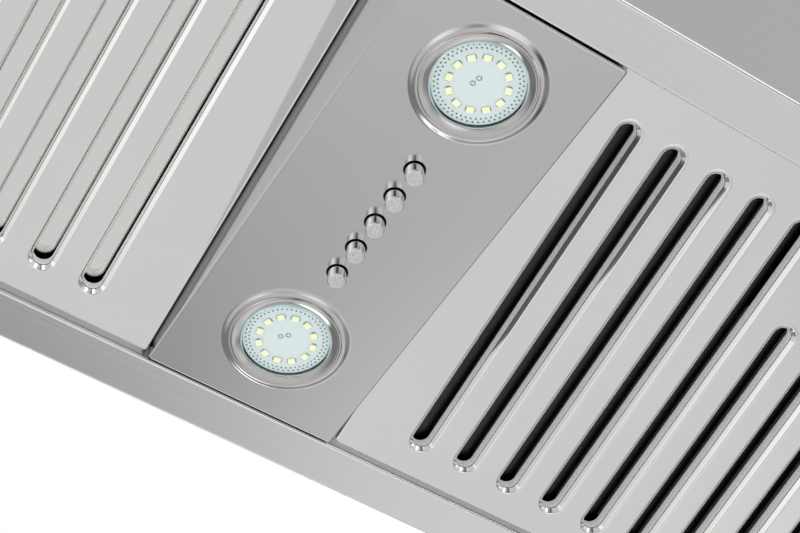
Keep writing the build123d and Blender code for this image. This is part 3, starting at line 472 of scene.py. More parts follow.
class Finishes:
    """Every finish of the hood, made once."""

    def __init__(self) -> None:
        """Makes the shared groups and all materials."""
        brushing, spangle, layering = make_brushing(), make_spangle(), make_layering()
        # a filter's layers start behind its outer face, and a button's behind the panel
        slope = math.radians(FILTER_TILT)
        into = (0.0, math.sin(slope), math.cos(slope))
        face = FILTER_REAR_Y * into[1] + FILTER_REAR_Z * into[2]
        # painted light and shade: the slot walls glow faintly, and a dark crease of painted shade runs where
        # the slope meets the wall
        rims = Layer((1.0, 1.0, 1.0), 0.5, 0.25, into, face + 2.1, face + 2.2, line=0.45, glow=0.17)
        # painted shade: the parts of the right baffle nearer the outer face than 12.85 mm are made near
        # black, as the shade inside the filter
        baffle = Layer((0.07, 0.072, 0.08), 0.3, 1.0, into, face + 12.95, face + 12.85)
        # painted shade: a button's metal goes near black behind the panel, as shade in its hole
        collar = Layer((0.03, 0.03, 0.03), 0.5, 1.0, (0.0, 0.0, 1.0), 6.2, 6.6)
        cloudy, across = Grain.CLOUDY, Grain.ALONG_X
        # painted shade: the shaded tone is a darker copy of the bright one, for the right baffle
        bright, shaded = (0.85, 0.85, 0.835), (0.75, 0.75, 0.74)
        brushed = [
            Brushed("canopy_steel", (0.86, 0.86, 0.855), across, 0.24, 0.1, 0.14, bump=0.12),
            Brushed("side_steel", (0.86, 0.86, 0.855), Grain.ALONG_Y, 0.24, 0.1, 0.14, bump=0.12),
            Brushed("panel_steel", (0.68, 0.68, 0.685), across, 0.16, 0.06, 0.04, 0.05, bump=0.03),
            Brushed("filter_steel", bright, across, 0.07, 0.03, 0.02, 0.07, 0.01, layer=rims),
            Brushed("latch_steel", (0.82, 0.82, 0.81), across, 0.15, 0.03, 0.02, 0.07, 0.01),
            # painted shade: the right baffle is a darker, shaded copy of the left
            Brushed("baffle_steel_left", bright, across, 0.07, 0.04, 0.03, 0.03, 0.0),
            Brushed("baffle_steel_right", shaded, across, 0.15, 0.04, 0.03, 0.03, 0.0, layer=baffle),
            Brushed("polished_metal", (0.86, 0.86, 0.86), cloudy, 0.07, 0.03, 0.02, 0.02, 0.0),
            Brushed("button_metal", (0.84, 0.84, 0.84), cloudy, 0.07, 0.03, 0.02, 0.02, 0.0, layer=collar),
            Brushed("ring_metal", (0.64, 0.63, 0.61), cloudy, 0.07, 0.03, 0.03, 0.05, 0.0),
            Brushed("spring_steel", (0.40, 0.40, 0.41), cloudy, 0.3, 0.05, 0.05, 0.05, 0.0),
            Brushed("cast_aluminium", (0.58, 0.59, 0.60), cloudy, 0.5, 0.1, 0.1, 0.1, 0.0),
            # painted light: the board, the chips and the lens edge are given a faint glow to brighten them
            Brushed("board_white", (0.82, 0.87, 0.88), cloudy, 0.35, 0.05, 0.02, 0.02, 0.0, 0.0, 0.06),
            Brushed("chip_yellow", (0.98, 0.95, 0.60), cloudy, 0.4, 0.05, 0.03, 0.02, 0.0, 0.0, 0.2),
            Brushed("lens_edge", (0.62, 0.76, 0.77), cloudy, 0.2, 0.1, 0.9, 0.3, 0.0, 0.2, 0.12),
            Brushed("chip_case", (0.70, 0.70, 0.66), cloudy, 0.4, 0.05, 0.02, 0.02, 0.0, 0.0, 0.0),
            Brushed("solder", (0.30, 0.31, 0.31), cloudy, 0.3, 0.1, 0.1, 0.05, 0.0, 0.6),
            Brushed("via_dark", (0.10, 0.12, 0.12), cloudy, 0.5, 0.1, 0.1, 0.05, 0.0, 0.0),
            Brushed("moulding_white", (0.80, 0.80, 0.77), cloudy, 0.45, 0.1, 0.03, 0.05, 0.0, 0.0),
            Brushed("moulding_black", (0.03, 0.03, 0.033), cloudy, 0.4, 0.1, 0.2, 0.05, 0.0, 0.0),
            Brushed("motor_enamel", (0.05, 0.055, 0.06), cloudy, 0.35, 0.1, 0.2, 0.05, 0.0, 0.0),
        ]
        self.table = {finish.name: finish.make(brushing, layering) for finish in brushed}
        for finish in (
            Zinc("zinc_sheet", (0.62, 0.64, 0.66)),
            Zinc("zinc_dark", (0.20, 0.21, 0.22), 0.45, 0.2),
        ):
            self.table[finish.name] = finish.make(spangle)
        self.table["lens_glass"] = Glass("lens_glass", (0.97, 0.995, 0.99)).make()

    def __getitem__(self, name: str) -> bpy.types.Material:
        """The material of that name."""
        return self.table[name]


# ------------------------------------------------------------------ mesh helpers
def finish_piece(
    piece: bpy.types.Object,
    material: bpy.types.Material,
    body: str = "root",
    replaced: Iterable[str] = (),
    smooth_angle: float = 32.0,
) -> bpy.types.Object:
    """Smooths a made piece, gives it its finish and ties it to its body.

    Args:
        piece: The object, in place, with its origin at the frame's.
        material: Its finish, where its mesh has none yet.
        body: The body that it rides on.
        replaced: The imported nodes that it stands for.
        smooth_angle: Edges that turn further, in degrees, stay sharp.

    Returns:
        The piece.
    """
    mesh = piece.data
    if not mesh.materials:
        mesh.materials.append(material)
    mesh.polygons.foreach_set("use_smooth", [True] * len(mesh.polygons))
    mesh.set_sharp_from_angle(angle=math.radians(smooth_angle))
    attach(piece, body)
    if replaced:
        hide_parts(*replaced)
    LOG.info("%s: %d faces on %s", piece.name, len(mesh.polygons), body)
    return piece


def link(name: str, mesh: bpy.types.Mesh) -> bpy.types.Object:
    """Puts a mesh into the scene as an object at the frame's origin.

    Args:
        name: The object's name.
        mesh: Its mesh.

    Returns:
        The object.
    """
    piece = bpy.data.objects.new(name, mesh)
    bpy.context.scene.collection.objects.link(piece)
    return piece


def from_bmesh(name: str, shape: bmesh.types.BMesh, tidy: bool = True) -> bpy.types.Object:
    """Turns a bmesh into an object.

    Args:
        name: The object's name.
        shape: The bmesh, which is freed.
        tidy: Whether its doubles are merged and its faces turned outwards first.

    Returns:
        The object.
    """
    if tidy:
        bmesh.ops.remove_doubles(shape, verts=shape.verts, dist=SAME_SPOT)
        bmesh.ops.recalc_face_normals(shape, faces=shape.faces)
    mesh = bpy.data.meshes.new(name)
    shape.to_mesh(mesh)
    shape.free()
    return link(name, mesh)


def turned(name: str, outline: Sequence[Point], place: Matrix, steps: int = 96) -> bpy.types.Object:
    """Makes a turned piece from a closed outline of radius and height.

    Args:
        name: The piece's name.
        outline: Its section, in millimetres, which may touch the axis.
        place: Where its axis stands, as a matrix in metres.
        steps: How many faces go round.

    Returns:
        The piece, closed, with its faces outwards.
    """
    shape = bmesh.new()
    rings = []
    for step in range(steps):
        turn = 2 * math.pi * step / steps
        ring = [
            shape.verts.new(place @ Vector((r * math.cos(turn) * MM, r * math.sin(turn) * MM, h * MM)))
            for r, h in outline
        ]
        rings.append(ring)
    count = len(outline)
    for step in range(steps):
        here, there = rings[step], rings[(step + 1) % steps]
        for i in range(count):
            j = (i + 1) % count
            if outline[i][0] < ON_AXIS and outline[j][0] < ON_AXIS:
                continue
            shape.faces.new((here[i], here[j], there[j], there[i]))
    bmesh.ops.remove_doubles(shape, verts=shape.verts, dist=SAME_SPOT)
    bmesh.ops.dissolve_degenerate(shape, edges=shape.edges, dist=1e-8)
    return from_bmesh(name, shape)


def arc(centre: Point, radius: float, start: float, end: float, steps: int) -> list[Point]:
    """Points along an arc, its two ends included, with angles in degrees."""
    angles = [math.radians(start + (end - start) * i / steps) for i in range(steps + 1)]
    return [(centre[0] + radius * math.cos(a), centre[1] + radius * math.sin(a)) for a in angles]


def section_object(name: str, outline: Sequence[Point], closed: bool = True) -> bpy.types.Object:
    """Makes a flat line of edges for a node tree to sweep.

    Args:
        name: The object's name.
        outline: Its points, in millimetres.
        closed: Whether the last point joins the first.

    Returns:
        The object, which the tree's run deletes.
    """
    mesh = bpy.data.meshes.new(name)
    edges = [(i, i + 1) for i in range(len(outline) - 1)]
    if closed:
        edges.append((len(outline) - 1, 0))
    mesh.from_pydata([(x * MM, y * MM, 0) for x, y in outline], edges, [])
    return link(name, mesh)


def run_tree(
    name: str,
    tree: Tree,
    values: dict[str, Any],
    place: Matrix | None = None,
    spent: Iterable[bpy.types.Object] = (),
) -> bpy.types.Object:
    """Runs a geometry tree and keeps its result as a plain mesh.

    Args:
        name: The piece's name.
        tree: The geometry tree.
        values: Its inputs, by name.
        place: Where the result goes.
        spent: Helper objects that are deleted afterwards.

    Returns:
        The piece, with no modifier.
    """
    host = link(f"{name}.host", bpy.data.meshes.new(f"{name}.host"))
    modifier = host.modifiers.new("tree", "NODES")
    modifier.node_group = tree.group
    for item in tree.group.interface.items_tree:
        if item.item_type == "SOCKET" and item.in_out == "INPUT" and item.name in values:
            modifier[item.identifier] = values[item.name]
    host.update_tag()
    bpy.context.view_layer.update()
    graph = bpy.context.evaluated_depsgraph_get()
    mesh = bpy.data.meshes.new_from_object(host.evaluated_get(graph))
    mesh.name = name
    host.modifiers.remove(modifier)
    for used in (host, *spent):
        bpy.data.objects.remove(used)
    if place is not None:
        mesh.transform(place)
        if place.determinant() < 0:
            mesh.flip_normals()
    return link(name, mesh)


# ------------------------------------------------------------------ slotted sheets
def make_slotted_tree() -> Tree:
    """Makes the tree of a pressed sheet with a row of long slots, whose rims are rolled.

    Returns:
        The tree. The sheet lies in XY, from y = 0 down to minus its length, and its rims run along the
        section that it is given, with X outwards from the slot's line and Y along the sheet's depth.
    """
    tree = Tree("slotted_sheet", "GeometryNodeTree")
    width = tree.take("Width", "NodeSocketFloat")
    length = tree.take("Length", "NodeSocketFloat")
    corner = tree.take("Corner", "NodeSocketFloat")
    count = tree.take("Slots", "NodeSocketInt")
    pitch = tree.take("Pitch", "NodeSocketFloat")
    slot_width = tree.take("Slot Width", "NodeSocketFloat")
    long_slot = tree.take("Slot Length", "NodeSocketFloat")
    short_slot = tree.take("Short Length", "NodeSocketFloat")
    short_from = tree.take("Short From", "NodeSocketInt")
    short_to = tree.take("Short To", "NodeSocketInt")
    margin = tree.take("Rear Margin", "NodeSocketFloat")
    sheet = tree.take("Sheet", "NodeSocketFloat")
    hole_width = tree.take("Hole Width", "NodeSocketFloat")
    hole_length = tree.take("Hole Length", "NodeSocketFloat")
    hole_place = tree.take("Hole Place", "NodeSocketFloat")
    rim = tree.take("Rim Section", "NodeSocketObject")
    edge = tree.take("Edge Section", "NodeSocketObject")
    finish = tree.take("Finish", "NodeSocketMaterial")

    def rounded(wide: Any, tall: Any, radius: Any, points: int, middle: Any) -> bpy.types.NodeSocket:
        """Adds a rounded rectangle to the tree.

        Args:
            wide: Its size in X.
            tall: Its size in Y.
            radius: The radius of its corners.
            points: Points round each corner.
            middle: The Y of its middle.

        Returns:
            The curve.
        """
        quad = tree.add("GeometryNodeCurvePrimitiveQuadrilateral", {"Width": wide, "Height": tall}).outputs[0]
        bend = {"Curve": quad, "Count": points, "Radius": radius}
        smooth = tree.add("GeometryNodeFilletCurve", bend, mode="POLY").outputs[0]
        move = tree.add("ShaderNodeCombineXYZ", {"Y": middle}).outputs[0]
        return tree.add("GeometryNodeTransform", {"Geometry": smooth, "Translation": move}).outputs[0]

    half = tree.sum("MULTIPLY", tree.sum("MULTIPLY", tree.sum("SUBTRACT", count, 1), pitch), -0.5)
    row = tree.add(
        "GeometryNodeMeshLine",
        {
            "Count": count,
            "Start Location": tree.add("ShaderNodeCombineXYZ", {"X": half}).outputs[0],
            "Offset": tree.add("ShaderNodeCombineXYZ", {"X": pitch}).outputs[0],
        },
    ).outputs[0]
    index = tree.add("GeometryNodeInputIndex").outputs[0]
    after, before = (
        tree.add("FunctionNodeCompare", {2: index, 3: limit}, data_type="INT", operation=operation).outputs[0]
        for limit, operation in ((short_from, "GREATER_EQUAL"), (short_to, "LESS_THAN"))
    )
    is_short = tree.add("FunctionNodeBooleanMath", {0: after, 1: before}, operation="AND").outputs[0]
    is_long = tree.add("FunctionNodeBooleanMath", {0: is_short}, operation="NOT").outputs[0]
    end_radius = tree.sum("MULTIPLY", slot_width, ROUND_END)
    lines = []
    for chosen, long in ((is_long, long_slot), (is_short, short_slot)):
        middle = tree.sum("SUBTRACT", tree.sum("MULTIPLY", long, -0.5), margin)
        outline = rounded(slot_width, long, end_radius, 12, middle)
        placed = tree.add(
            "GeometryNodeInstanceOnPoints", {"Points": row, "Selection": chosen, "Instance": outline}
        )
        lines.append(tree.add("GeometryNodeRealizeInstances", {0: placed.outputs[0]}).outputs[0])
    slots = tree.add("GeometryNodeJoinGeometry", {0: lines}).outputs[0]
    hole = rounded(hole_width, hole_length, tree.sum("MULTIPLY", hole_width, ROUND_END), 8, hole_place)
    border = rounded(width, length, corner, 5, tree.sum("MULTIPLY", length, -0.5))

    def swept(line: bpy.types.NodeSocket, section: bpy.types.NodeSocket) -> bpy.types.NodeSocket:
        """Adds the sweep of a section along a level line and returns its mesh."""
        level = tree.add("GeometryNodeSetCurveNormal", {"Curve": line}, mode="Z_UP").outputs[0]
        return tree.add("GeometryNodeCurveToMesh", {"Curve": level, "Profile Curve": section}).outputs[0]

    def section_of(given: bpy.types.NodeSocket) -> bpy.types.NodeSocket:
        """Turns a given object's edges into a curve."""
        shape = tree.add("GeometryNodeObjectInfo", {"Object": given}).outputs["Geometry"]
        return tree.add("GeometryNodeMeshToCurve", {0: shape}).outputs[0]

    wall = tree.add(
        "GeometryNodeCurvePrimitiveLine",
        {
            "Start": tree.add("ShaderNodeCombineXYZ", {"Y": tree.sum("MULTIPLY", sheet, -1)}).outputs[0],
            "End": (0, 0, 0),
        },
    )
    outline = tree.add("GeometryNodeJoinGeometry", {0: [slots, hole, border]}).outputs[0]
    face = tree.add("GeometryNodeFillCurve", {"Curve": outline}, mode="TRIANGLES").outputs[0]
    back = tree.add(
        "GeometryNodeTransform",
        {"Geometry": face, "Translation": tree.add("ShaderNodeCombineXYZ", {"Z": sheet}).outputs[0]},
    ).outputs[0]
    front = tree.add("GeometryNodeFlipFaces", {"Mesh": face}).outputs[0]
    parts = [
        front,
        back,
        swept(slots, section_of(rim)),
        swept(border, section_of(edge)),
        swept(hole, wall.outputs[0]),
    ]
    whole = tree.add("GeometryNodeJoinGeometry", {0: parts}).outputs[0]
    merged = tree.add("GeometryNodeMergeByDistance", {"Geometry": whole, "Distance": 2e-5}).outputs[0]
    outwards = tree.add("GeometryNodeFlipFaces", {"Mesh": merged}).outputs[0]
    real = tree.add("GeometryNodeRealizeInstances", {0: outwards}).outputs[0]
    done = tree.add("GeometryNodeSetMaterial", {"Geometry": real, "Material": finish}).outputs[0]
    tree.give("Geometry", "NodeSocketGeometry", done)
    return tree


def make_repeat_tree() -> Tree:
    """Makes the tree that repeats a small part at given points, such as screws along a flange.

    Returns:
        The tree.
    """
    tree = Tree("repeat_at_points", "GeometryNodeTree")
    points = tree.take("Points", "NodeSocketObject")
    part = tree.take("Part", "NodeSocketObject")
    spin = tree.take("Spin", "NodeSocketFloat", 0.0)
    seed = tree.take("Seed", "NodeSocketInt", 3)
    finish = tree.take("Finish", "NodeSocketMaterial")
    places = tree.add("GeometryNodeObjectInfo", {"Object": points}).outputs["Geometry"]
    shape = tree.add("GeometryNodeObjectInfo", {"Object": part}).outputs["Geometry"]
    chance = tree.add("FunctionNodeRandomValue", {"Seed": seed}, data_type="FLOAT").outputs[1]
    angle = tree.add("ShaderNodeCombineXYZ", {"Z": tree.sum("MULTIPLY", chance, spin)}).outputs[0]
    spots = {"Points": places, "Instance": shape, "Rotation": angle}
    placed = tree.add("GeometryNodeInstanceOnPoints", spots).outputs[0]
    real = tree.add("GeometryNodeRealizeInstances", {0: placed}).outputs[0]
    done = tree.add("GeometryNodeSetMaterial", {"Geometry": real, "Material": finish}).outputs[0]
    tree.give("Geometry", "NodeSocketGeometry", done)
    return tree


def make_ring_tree() -> Tree:
    """Makes the tree that sets equal parts round a circle, each turned outwards.

    Returns:
        The tree.
    """
    tree = Tree("ring_of_parts", "GeometryNodeTree")
    part = tree.take("Part", "NodeSocketObject")
    count = tree.take("Count", "NodeSocketInt", 12)
    radius = tree.take("Radius", "NodeSocketFloat", 0.01)
    phase = tree.take("Phase", "NodeSocketFloat", 0.0)
    finish = tree.take("Finish", "NodeSocketMaterial")
    shape = tree.add("GeometryNodeObjectInfo", {"Object": part}).outputs["Geometry"]
    circle = tree.add("GeometryNodeMeshCircle", {"Vertices": count, "Radius": radius}).outputs[0]
    index = tree.add("GeometryNodeInputIndex").outputs[0]
    step = tree.sum("DIVIDE", 2 * math.pi, count)
    angle = tree.add("ShaderNodeCombineXYZ", {"Z": tree.sum("MULTIPLY", index, step)}).outputs[0]
    spots = {"Points": circle, "Instance": shape, "Rotation": angle}
    placed = tree.add("GeometryNodeInstanceOnPoints", spots).outputs[0]
    real = tree.add("GeometryNodeRealizeInstances", {0: placed}).outputs[0]
    whole = tree.add("ShaderNodeCombineXYZ", {"Z": phase}).outputs[0]
    turned_round = tree.add("GeometryNodeTransform", {"Geometry": real, "Rotation": whole}).outputs[0]
    done = tree.add("GeometryNodeSetMaterial", {"Geometry": turned_round, "Material": finish}).outputs[0]
    tree.give("Geometry", "NodeSocketGeometry", done)
    return tree


# ------------------------------------------------------------------ folded and pressed sheet
def folded_outline(
    points: Sequence[Point], radius: float, thickness: float, side: int, steps: int = 8
) -> list[Point]:
    """Works out the closed section of a folded sheet from the line of its outer face.

    Args:
        points: The corners of the outer face, before bending.
        radius: The outer face's radius in each bend.
        thickness: The sheet's thickness.
        side: 1 where the sheet's body lies left of the line, -1 where it lies right.
        steps: Faces round each bend.

    Returns:
        The section's outline.
    """
    line = [Vector(p) for p in points]
    outer: list[Point] = []
    inner: list[Point] = []
    ways = [(b - a).normalized() for a, b in zip(line, line[1:])]

    def left(way: Vector) -> Vector:
        """The direction a quarter turn to the left."""
        return Vector((-way.y, way.x))

    outer.append(tuple(line[0]))
    inner.append(tuple(line[0] + left(ways[0]) * thickness * side))
    for corner, before, after in zip(line[1:], ways, ways[1:]):
        turn = math.atan2(before.x * after.y - before.y * after.x, before.dot(after))
        sense = 1 if turn > 0 else -1
        start = corner - before * radius * math.tan(abs(turn) / 2)
        centre = start + left(before) * radius * sense
        inside = radius - thickness if sense == side else radius + thickness
        spoke = (start - centre) / radius
        for i in range(steps + 1):
            ray = Matrix.Rotation(turn * i / steps, 2) @ spoke
            outer.append(tuple(centre + ray * radius))
            inner.append(tuple(centre + ray * inside))
    outer.append(tuple(line[-1]))
    inner.append(tuple(line[-1] + left(ways[-1]) * thickness * side))
    return outer + inner[::-1]


def softened(points: Sequence[Point], radius: float, steps: int = 4) -> list[Point]:
    """Rounds every corner of a closed outline.

    Args:
        points: The outline's corners.
        radius: The largest radius; short sides take a smaller one.
        steps: Faces round each corner.

    Returns:
        The rounded outline. Corners on the axis stay sharp.
    """
    out: list[Point] = []
    count = len(points)
    for i in range(count):
        before, here, after = (Vector(points[(i + k) % count]) for k in (-1, 0, 1))
        if here.x < ON_AXIS:
            out.append(tuple(here))
            continue
        to_before, to_after = (before - here), (after - here)
        reach = min(radius, 0.45 * to_before.length, 0.45 * to_after.length)
        a, b = here + to_before.normalized() * reach, here + to_after.normalized() * reach
        for k in range(steps + 1):
            t = k / steps
            out.append(tuple(a * (1 - t) ** 2 + here * 2 * t * (1 - t) + b * t * t))
    return out


def loop_round(width: float, length: float, corner: float, middle: Point, steps: int = 5) -> list[Point]:
    """Works out a rounded rectangle.

    Args:
        width: Its size in X.
        length: Its size in Y.
        corner: The radius of its corners.
        middle: Its middle.
        steps: Faces round each corner.

    Returns:
        Its points, anticlockwise.
    """
    points: list[Point] = []
    for turn, (sx, sy) in enumerate(((1, 1), (-1, 1), (-1, -1), (1, -1))):
        centre = (middle[0] + sx * (width / 2 - corner), middle[1] + sy * (length / 2 - corner))
        points += arc(centre, corner, 90 * turn, 90 * turn + 90, steps)
    return points


def circle(radius: float, middle: Point, steps: int = 96) -> list[Point]:
    """A circle, anticlockwise."""
    return arc(middle, radius, 0, 360, steps)[:-1]


def add_swept(
    shape: bmesh.types.BMesh,
    loop: Sequence[Point],
    section: Sequence[Point],
    trim: Any = None,
) -> None:
    """Sweeps an open section round a closed level loop.

    Args:
        shape: The mesh that takes the faces.
        loop: The loop in X and Y, anticlockwise, in millimetres.
        section: Points of distance outwards and height, in millimetres.
        trim: A function of the outward direction and the height that gives the real height, or None.
    """
    count = len(loop)
    rows = []
    for i, here in enumerate(loop):
        before, after = Vector(loop[i - 1]), Vector(loop[(i + 1) % count])
        way = (after - Vector(here)).normalized() + (Vector(here) - before).normalized()
        out = Vector((way.y, -way.x)).normalized()
        row = []
        for reach, height in section:
            spot = Vector(here) + out * reach
            level = trim(out, height) if trim else height
            row.append(shape.verts.new((spot.x * MM, spot.y * MM, level * MM)))
        rows.append(row)
    for i in range(count):
        here, there = rows[i], rows[(i + 1) % count]
        for k in range(len(section) - 1):
            shape.faces.new((here[k], there[k], there[k + 1], here[k + 1]))


def add_plate(shape: bmesh.types.BMesh, loops: Sequence[Sequence[Point]], height: float) -> None:
    """Fills the level area between an outer loop and the holes in it.

    Args:
        shape: The mesh that takes the faces.
        loops: The outer loop and then the holes, in millimetres.
        height: Their height, in millimetres.
    """
    spots = [point for loop in loops for point in loop]
    verts = [shape.verts.new((x * MM, y * MM, height * MM)) for x, y in spots]
    for face in tessellate_polygon([[Vector((x, y, 0)) for x, y in loop] for loop in loops]):
        if len({face[0], face[1], face[2]}) == 3:
            shape.faces.new([verts[i] for i in face])


def extruded(name: str, outline: Sequence[Point], low: Any, high: Any, along: str) -> bpy.types.Object:
    """Makes a folded piece from its section.

    Args:
        name: The piece's name.
        outline: The section, in millimetres.
        low: Where it starts along the axis, as a number or a function of a point of the section.
        high: Where it ends.
        along: X for a section of Y and Z, or Y for a section of X and Z.

    Returns:
        The piece.
    """
    shape = bmesh.new()
    ends = []
    for limit in (low, high):
        row = []
        for a, b in outline:
            d = limit((a, b)) if callable(limit) else limit
            spot = (d, a, b) if along == "X" else (a, d, b)
            row.append(shape.verts.new(Vector(spot) * MM))
        ends.append(row)
        shape.faces.new(row)
    count = len(outline)
    for i in range(count):
        j = (i + 1) % count
        shape.faces.new((ends[0][i], ends[0][j], ends[1][j], ends[1][i]))
    return from_bmesh(name, shape)


def add_block(shape: bmesh.types.BMesh, low: Sequence[float], high: Sequence[float]) -> None:
    """Adds a block.

    Args:
        shape: The mesh that takes the block.
        low: Its lowest corner, in millimetres.
        high: Its highest corner.
    """
    made = bmesh.ops.create_cube(shape, size=1.0)["verts"]
    for vert in made:
        vert.co = Vector([(a if c < 0 else b) * MM for c, a, b in zip(vert.co, low, high)])


def soften_edges(piece: bpy.types.Object, width: float, segments: int = 2, angle: float = 30.0) -> None:
    """Rounds a piece's sharp edges and keeps its flats flat.

    Args:
        piece: The piece.
        width: The rounding, in millimetres.
        segments: Faces round each edge.
        angle: Edges that turn further, in degrees, are rounded.
    """
    bevel = piece.modifiers.new("edges", "BEVEL")
    bevel.width = width * MM
    bevel.segments = segments
    bevel.limit_method = "ANGLE"
    bevel.angle_limit = math.radians(angle)
    bevel.use_clamp_overlap = True
    keep_flats(piece)


def keep_flats(piece: bpy.types.Object) -> None:
    """Weights a piece's shading towards its large faces."""
    weighted = piece.modifiers.new("flats", "WEIGHTED_NORMAL")
    weighted.keep_sharp = True


class Trees:
    """The geometry trees, made once."""

    def __init__(self, finishes: Finishes) -> None:
        """Makes the three trees.

        Args:
            finishes: The finishes that the trees' results take.
        """
        self.finishes = finishes
        self.slotted = make_slotted_tree()
        self.repeat = make_repeat_tree()
        self.ring = make_ring_tree()

    def ring_of(
        self,
        name: str,
        part: bpy.types.Object,
        count: int,
        radius: float,
        phase: float,
        finish: str,
        place: Matrix,
    ) -> bpy.types.Object:
        """Sets parts round a circle.

        Args:
            name: The result's name.
            part: The part, with its origin where the circle runs.
            count: How many there are.
            radius: The circle's radius, in millimetres.
            phase: The first part's angle.
            finish: Their finish.
            place: The circle's place.

        Returns:
            All the parts as one piece.
        """
        values = {
            "Part": part,
            "Count": count,
            "Radius": radius * MM,
            "Phase": phase,
            "Finish": self.finishes[finish],
        }
        return run_tree(name, self.ring, values, place)

    def repeated(
        self, name: str, part: bpy.types.Object, places: Sequence[Sequence[float]], finish: str
    ) -> bpy.types.Object:
        """Repeats an upright part at points, each turned its own way.

        Args:
            name: The result's name.
            part: The part, standing on its origin and pointing up.
            places: The points, in millimetres.
            finish: Their finish.

        Returns:
            All the parts as one piece.
        """
        mesh = bpy.data.meshes.new(f"{name}.points")
        mesh.from_pydata([Vector(p) * MM for p in places], [], [])
        points = link(f"{name}.points", mesh)
        values = {
            "Points": points,
            "Part": part,
            "Spin": 2 * math.pi,
            "Finish": self.finishes[finish],
        }
        return run_tree(name, self.repeat, values, None, [points])


# ------------------------------------------------------------------ the hood's own pieces
@dataclass
class Canopy:
    """The folded front and rear sheets of the canopy."""

    finishes: Finishes
    side_x: float = 449.25
    half_depth: float = 145.0
    front_lip_y: float = -120.5
    rear_lip_y: float = 120.8
    underside: float = 6.4
    top: float = 146.4
    sheet: float = 0.9
    bend: float = 1.6
    lip: float = 10.0
    top_flange: float = 14.0

    def section(self, lip: float, face: float) -> list[Point]:
        """Works out the section of one wall.

        Args:
            lip: The Y of the flange's turned-up lip.
            face: The Y of the wall's outer face.

        Returns:
            The closed section, in Y and Z.
        """
        inward = 1 if face < 0 else -1
        corners = [
            (lip, self.underside + self.lip),
            (lip, self.underside),
            (face, self.underside),
            (face, self.top),
            (face + inward * self.top_flange, self.top),
        ]
        return folded_outline(corners, self.bend, self.sheet, -1 if inward > 0 else 1)

    def build_long_wall(self, name: str, lip_y: float, face_y: float) -> bpy.types.Object:
        """Makes the front or the rear sheet.

        Args:
            name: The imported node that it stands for.
            lip_y: The Y of its flange's lip.
            face_y: The Y of its outer face.

        Returns:
            The sheet.
        """

        def reach(point: Point) -> float:
            """Half the sheet's width at that point of its section."""
            on_lip = abs(point[0] - lip_y) < 1.5 * self.sheet and point[1] > self.underside + 2 * self.sheet
            return self.side_x - (self.bend if on_lip else 0.02)

        piece = extruded(name, self.section(lip_y, face_y), lambda p: -reach(p), reach, "X")
        finish_piece(piece, self.finishes["canopy_steel"], replaced=[name])
        keep_flats(piece)
        return piece

    def build(self) -> None:
        """Makes both long sheets."""
        self.build_long_wall("front_fascia", self.front_lip_y, -self.half_depth)
        self.build_long_wall("rear_wall", self.rear_lip_y, self.half_depth)


@dataclass
class ControlPanel:
    """The pressed panel with its two lamp bosses and its row of button holes."""

    finishes: Finishes
    width: float = 96.5
    front_y: float = -119.55
    rear_y: float = 119.85
    underside: float = 6.4
    wall: float = 100.0
    end_flange: float = 12.0
    sheet: float = 0.9
    corner: float = 1.2
    lamps: tuple[float, ...] = (-82.0, 76.5)
    boss: float = 29.6
    boss_top: float = 25.9
    boss_rise: float = 1.1
    seat: float = 23.35
    buttons: tuple[float, ...] = (-32.6, -16.6, -0.6, 15.4, 31.4)
    button_hole: float = 4.8
    hole_edge: float = 0.25

    def boss_section(self) -> list[Point]:
        """Works out the section of a lamp boss.

        Returns:
            Points of distance from the boss's foot, negative inwards, and height: in along the outer face,
            and back along the inner one.
        """
        steps = 16
        down, up = [], []
        for i in range(steps + 1):
            t = i / steps
            press = self.boss_rise * (t * t * (3 - 2 * t))
            slope = self.boss_rise / (self.boss - self.boss_top) * 6 * t * (1 - t)
            tilt = math.hypot(1, slope)
            reach = -(self.boss - self.boss_top) * t
            down.append((reach, self.underside - press))
            up.append((reach - self.sheet * slope / tilt, self.underside - press + self.sheet / tilt))
        floor = self.underside - self.boss_rise
        edge = self.seat - self.boss
        return down + [(edge + 0.1, floor), (edge, floor + 0.1), (edge, floor + self.sheet)] + up[::-1]

    def build(self) -> bpy.types.Object:
        """Makes the panel as one closed sheet.

        Returns:
            The panel.
        """
        shape = bmesh.new()
        length = self.rear_y - self.front_y
        middle = (0, (self.front_y + self.rear_y) / 2)
        border = loop_round(self.width - 2 * self.corner, length - 2 * self.corner, 0.2, middle)
        rims = [circle(self.boss, (0, y), 128) for y in self.lamps]
        holes = [circle(self.button_hole + self.hole_edge, (0, y), 48) for y in self.buttons]
        low, high = self.underside, self.underside + self.sheet
        for level in (low, high):
            add_plate(shape, [border, *rims, *holes], level)
        bend = arc((0, low + self.corner), self.corner, -90, 0, 8)
        inner = arc((0, low + self.corner), self.corner - self.sheet, 0, -90, 8)
        top = low + self.wall
        section = bend + [(self.corner, top - 0.1), (self.corner - 0.1, top)]
        section += [(self.corner - self.sheet, top)] + inner

        def trim(out: Vector, height: float) -> float:
            """The walls at the panel's ends are only short flanges."""
            return min(height, low + self.end_flange) if abs(out.y) > abs(out.x) else height

        add_swept(shape, border, section, trim)
        for rim in rims:
            add_swept(shape, rim, self.boss_section())
        edge = self.hole_edge
        rolled = arc((0, low + edge), edge, -90, -180, 4)
        for hole in holes:
            add_swept(shape, hole, [*rolled, (-edge, high), (0, high)])
        piece = from_bmesh("control_panel", shape)
        finish_piece(piece, self.finishes["panel_steel"], replaced=["control_panel"])
        keep_flats(piece)
        return piece


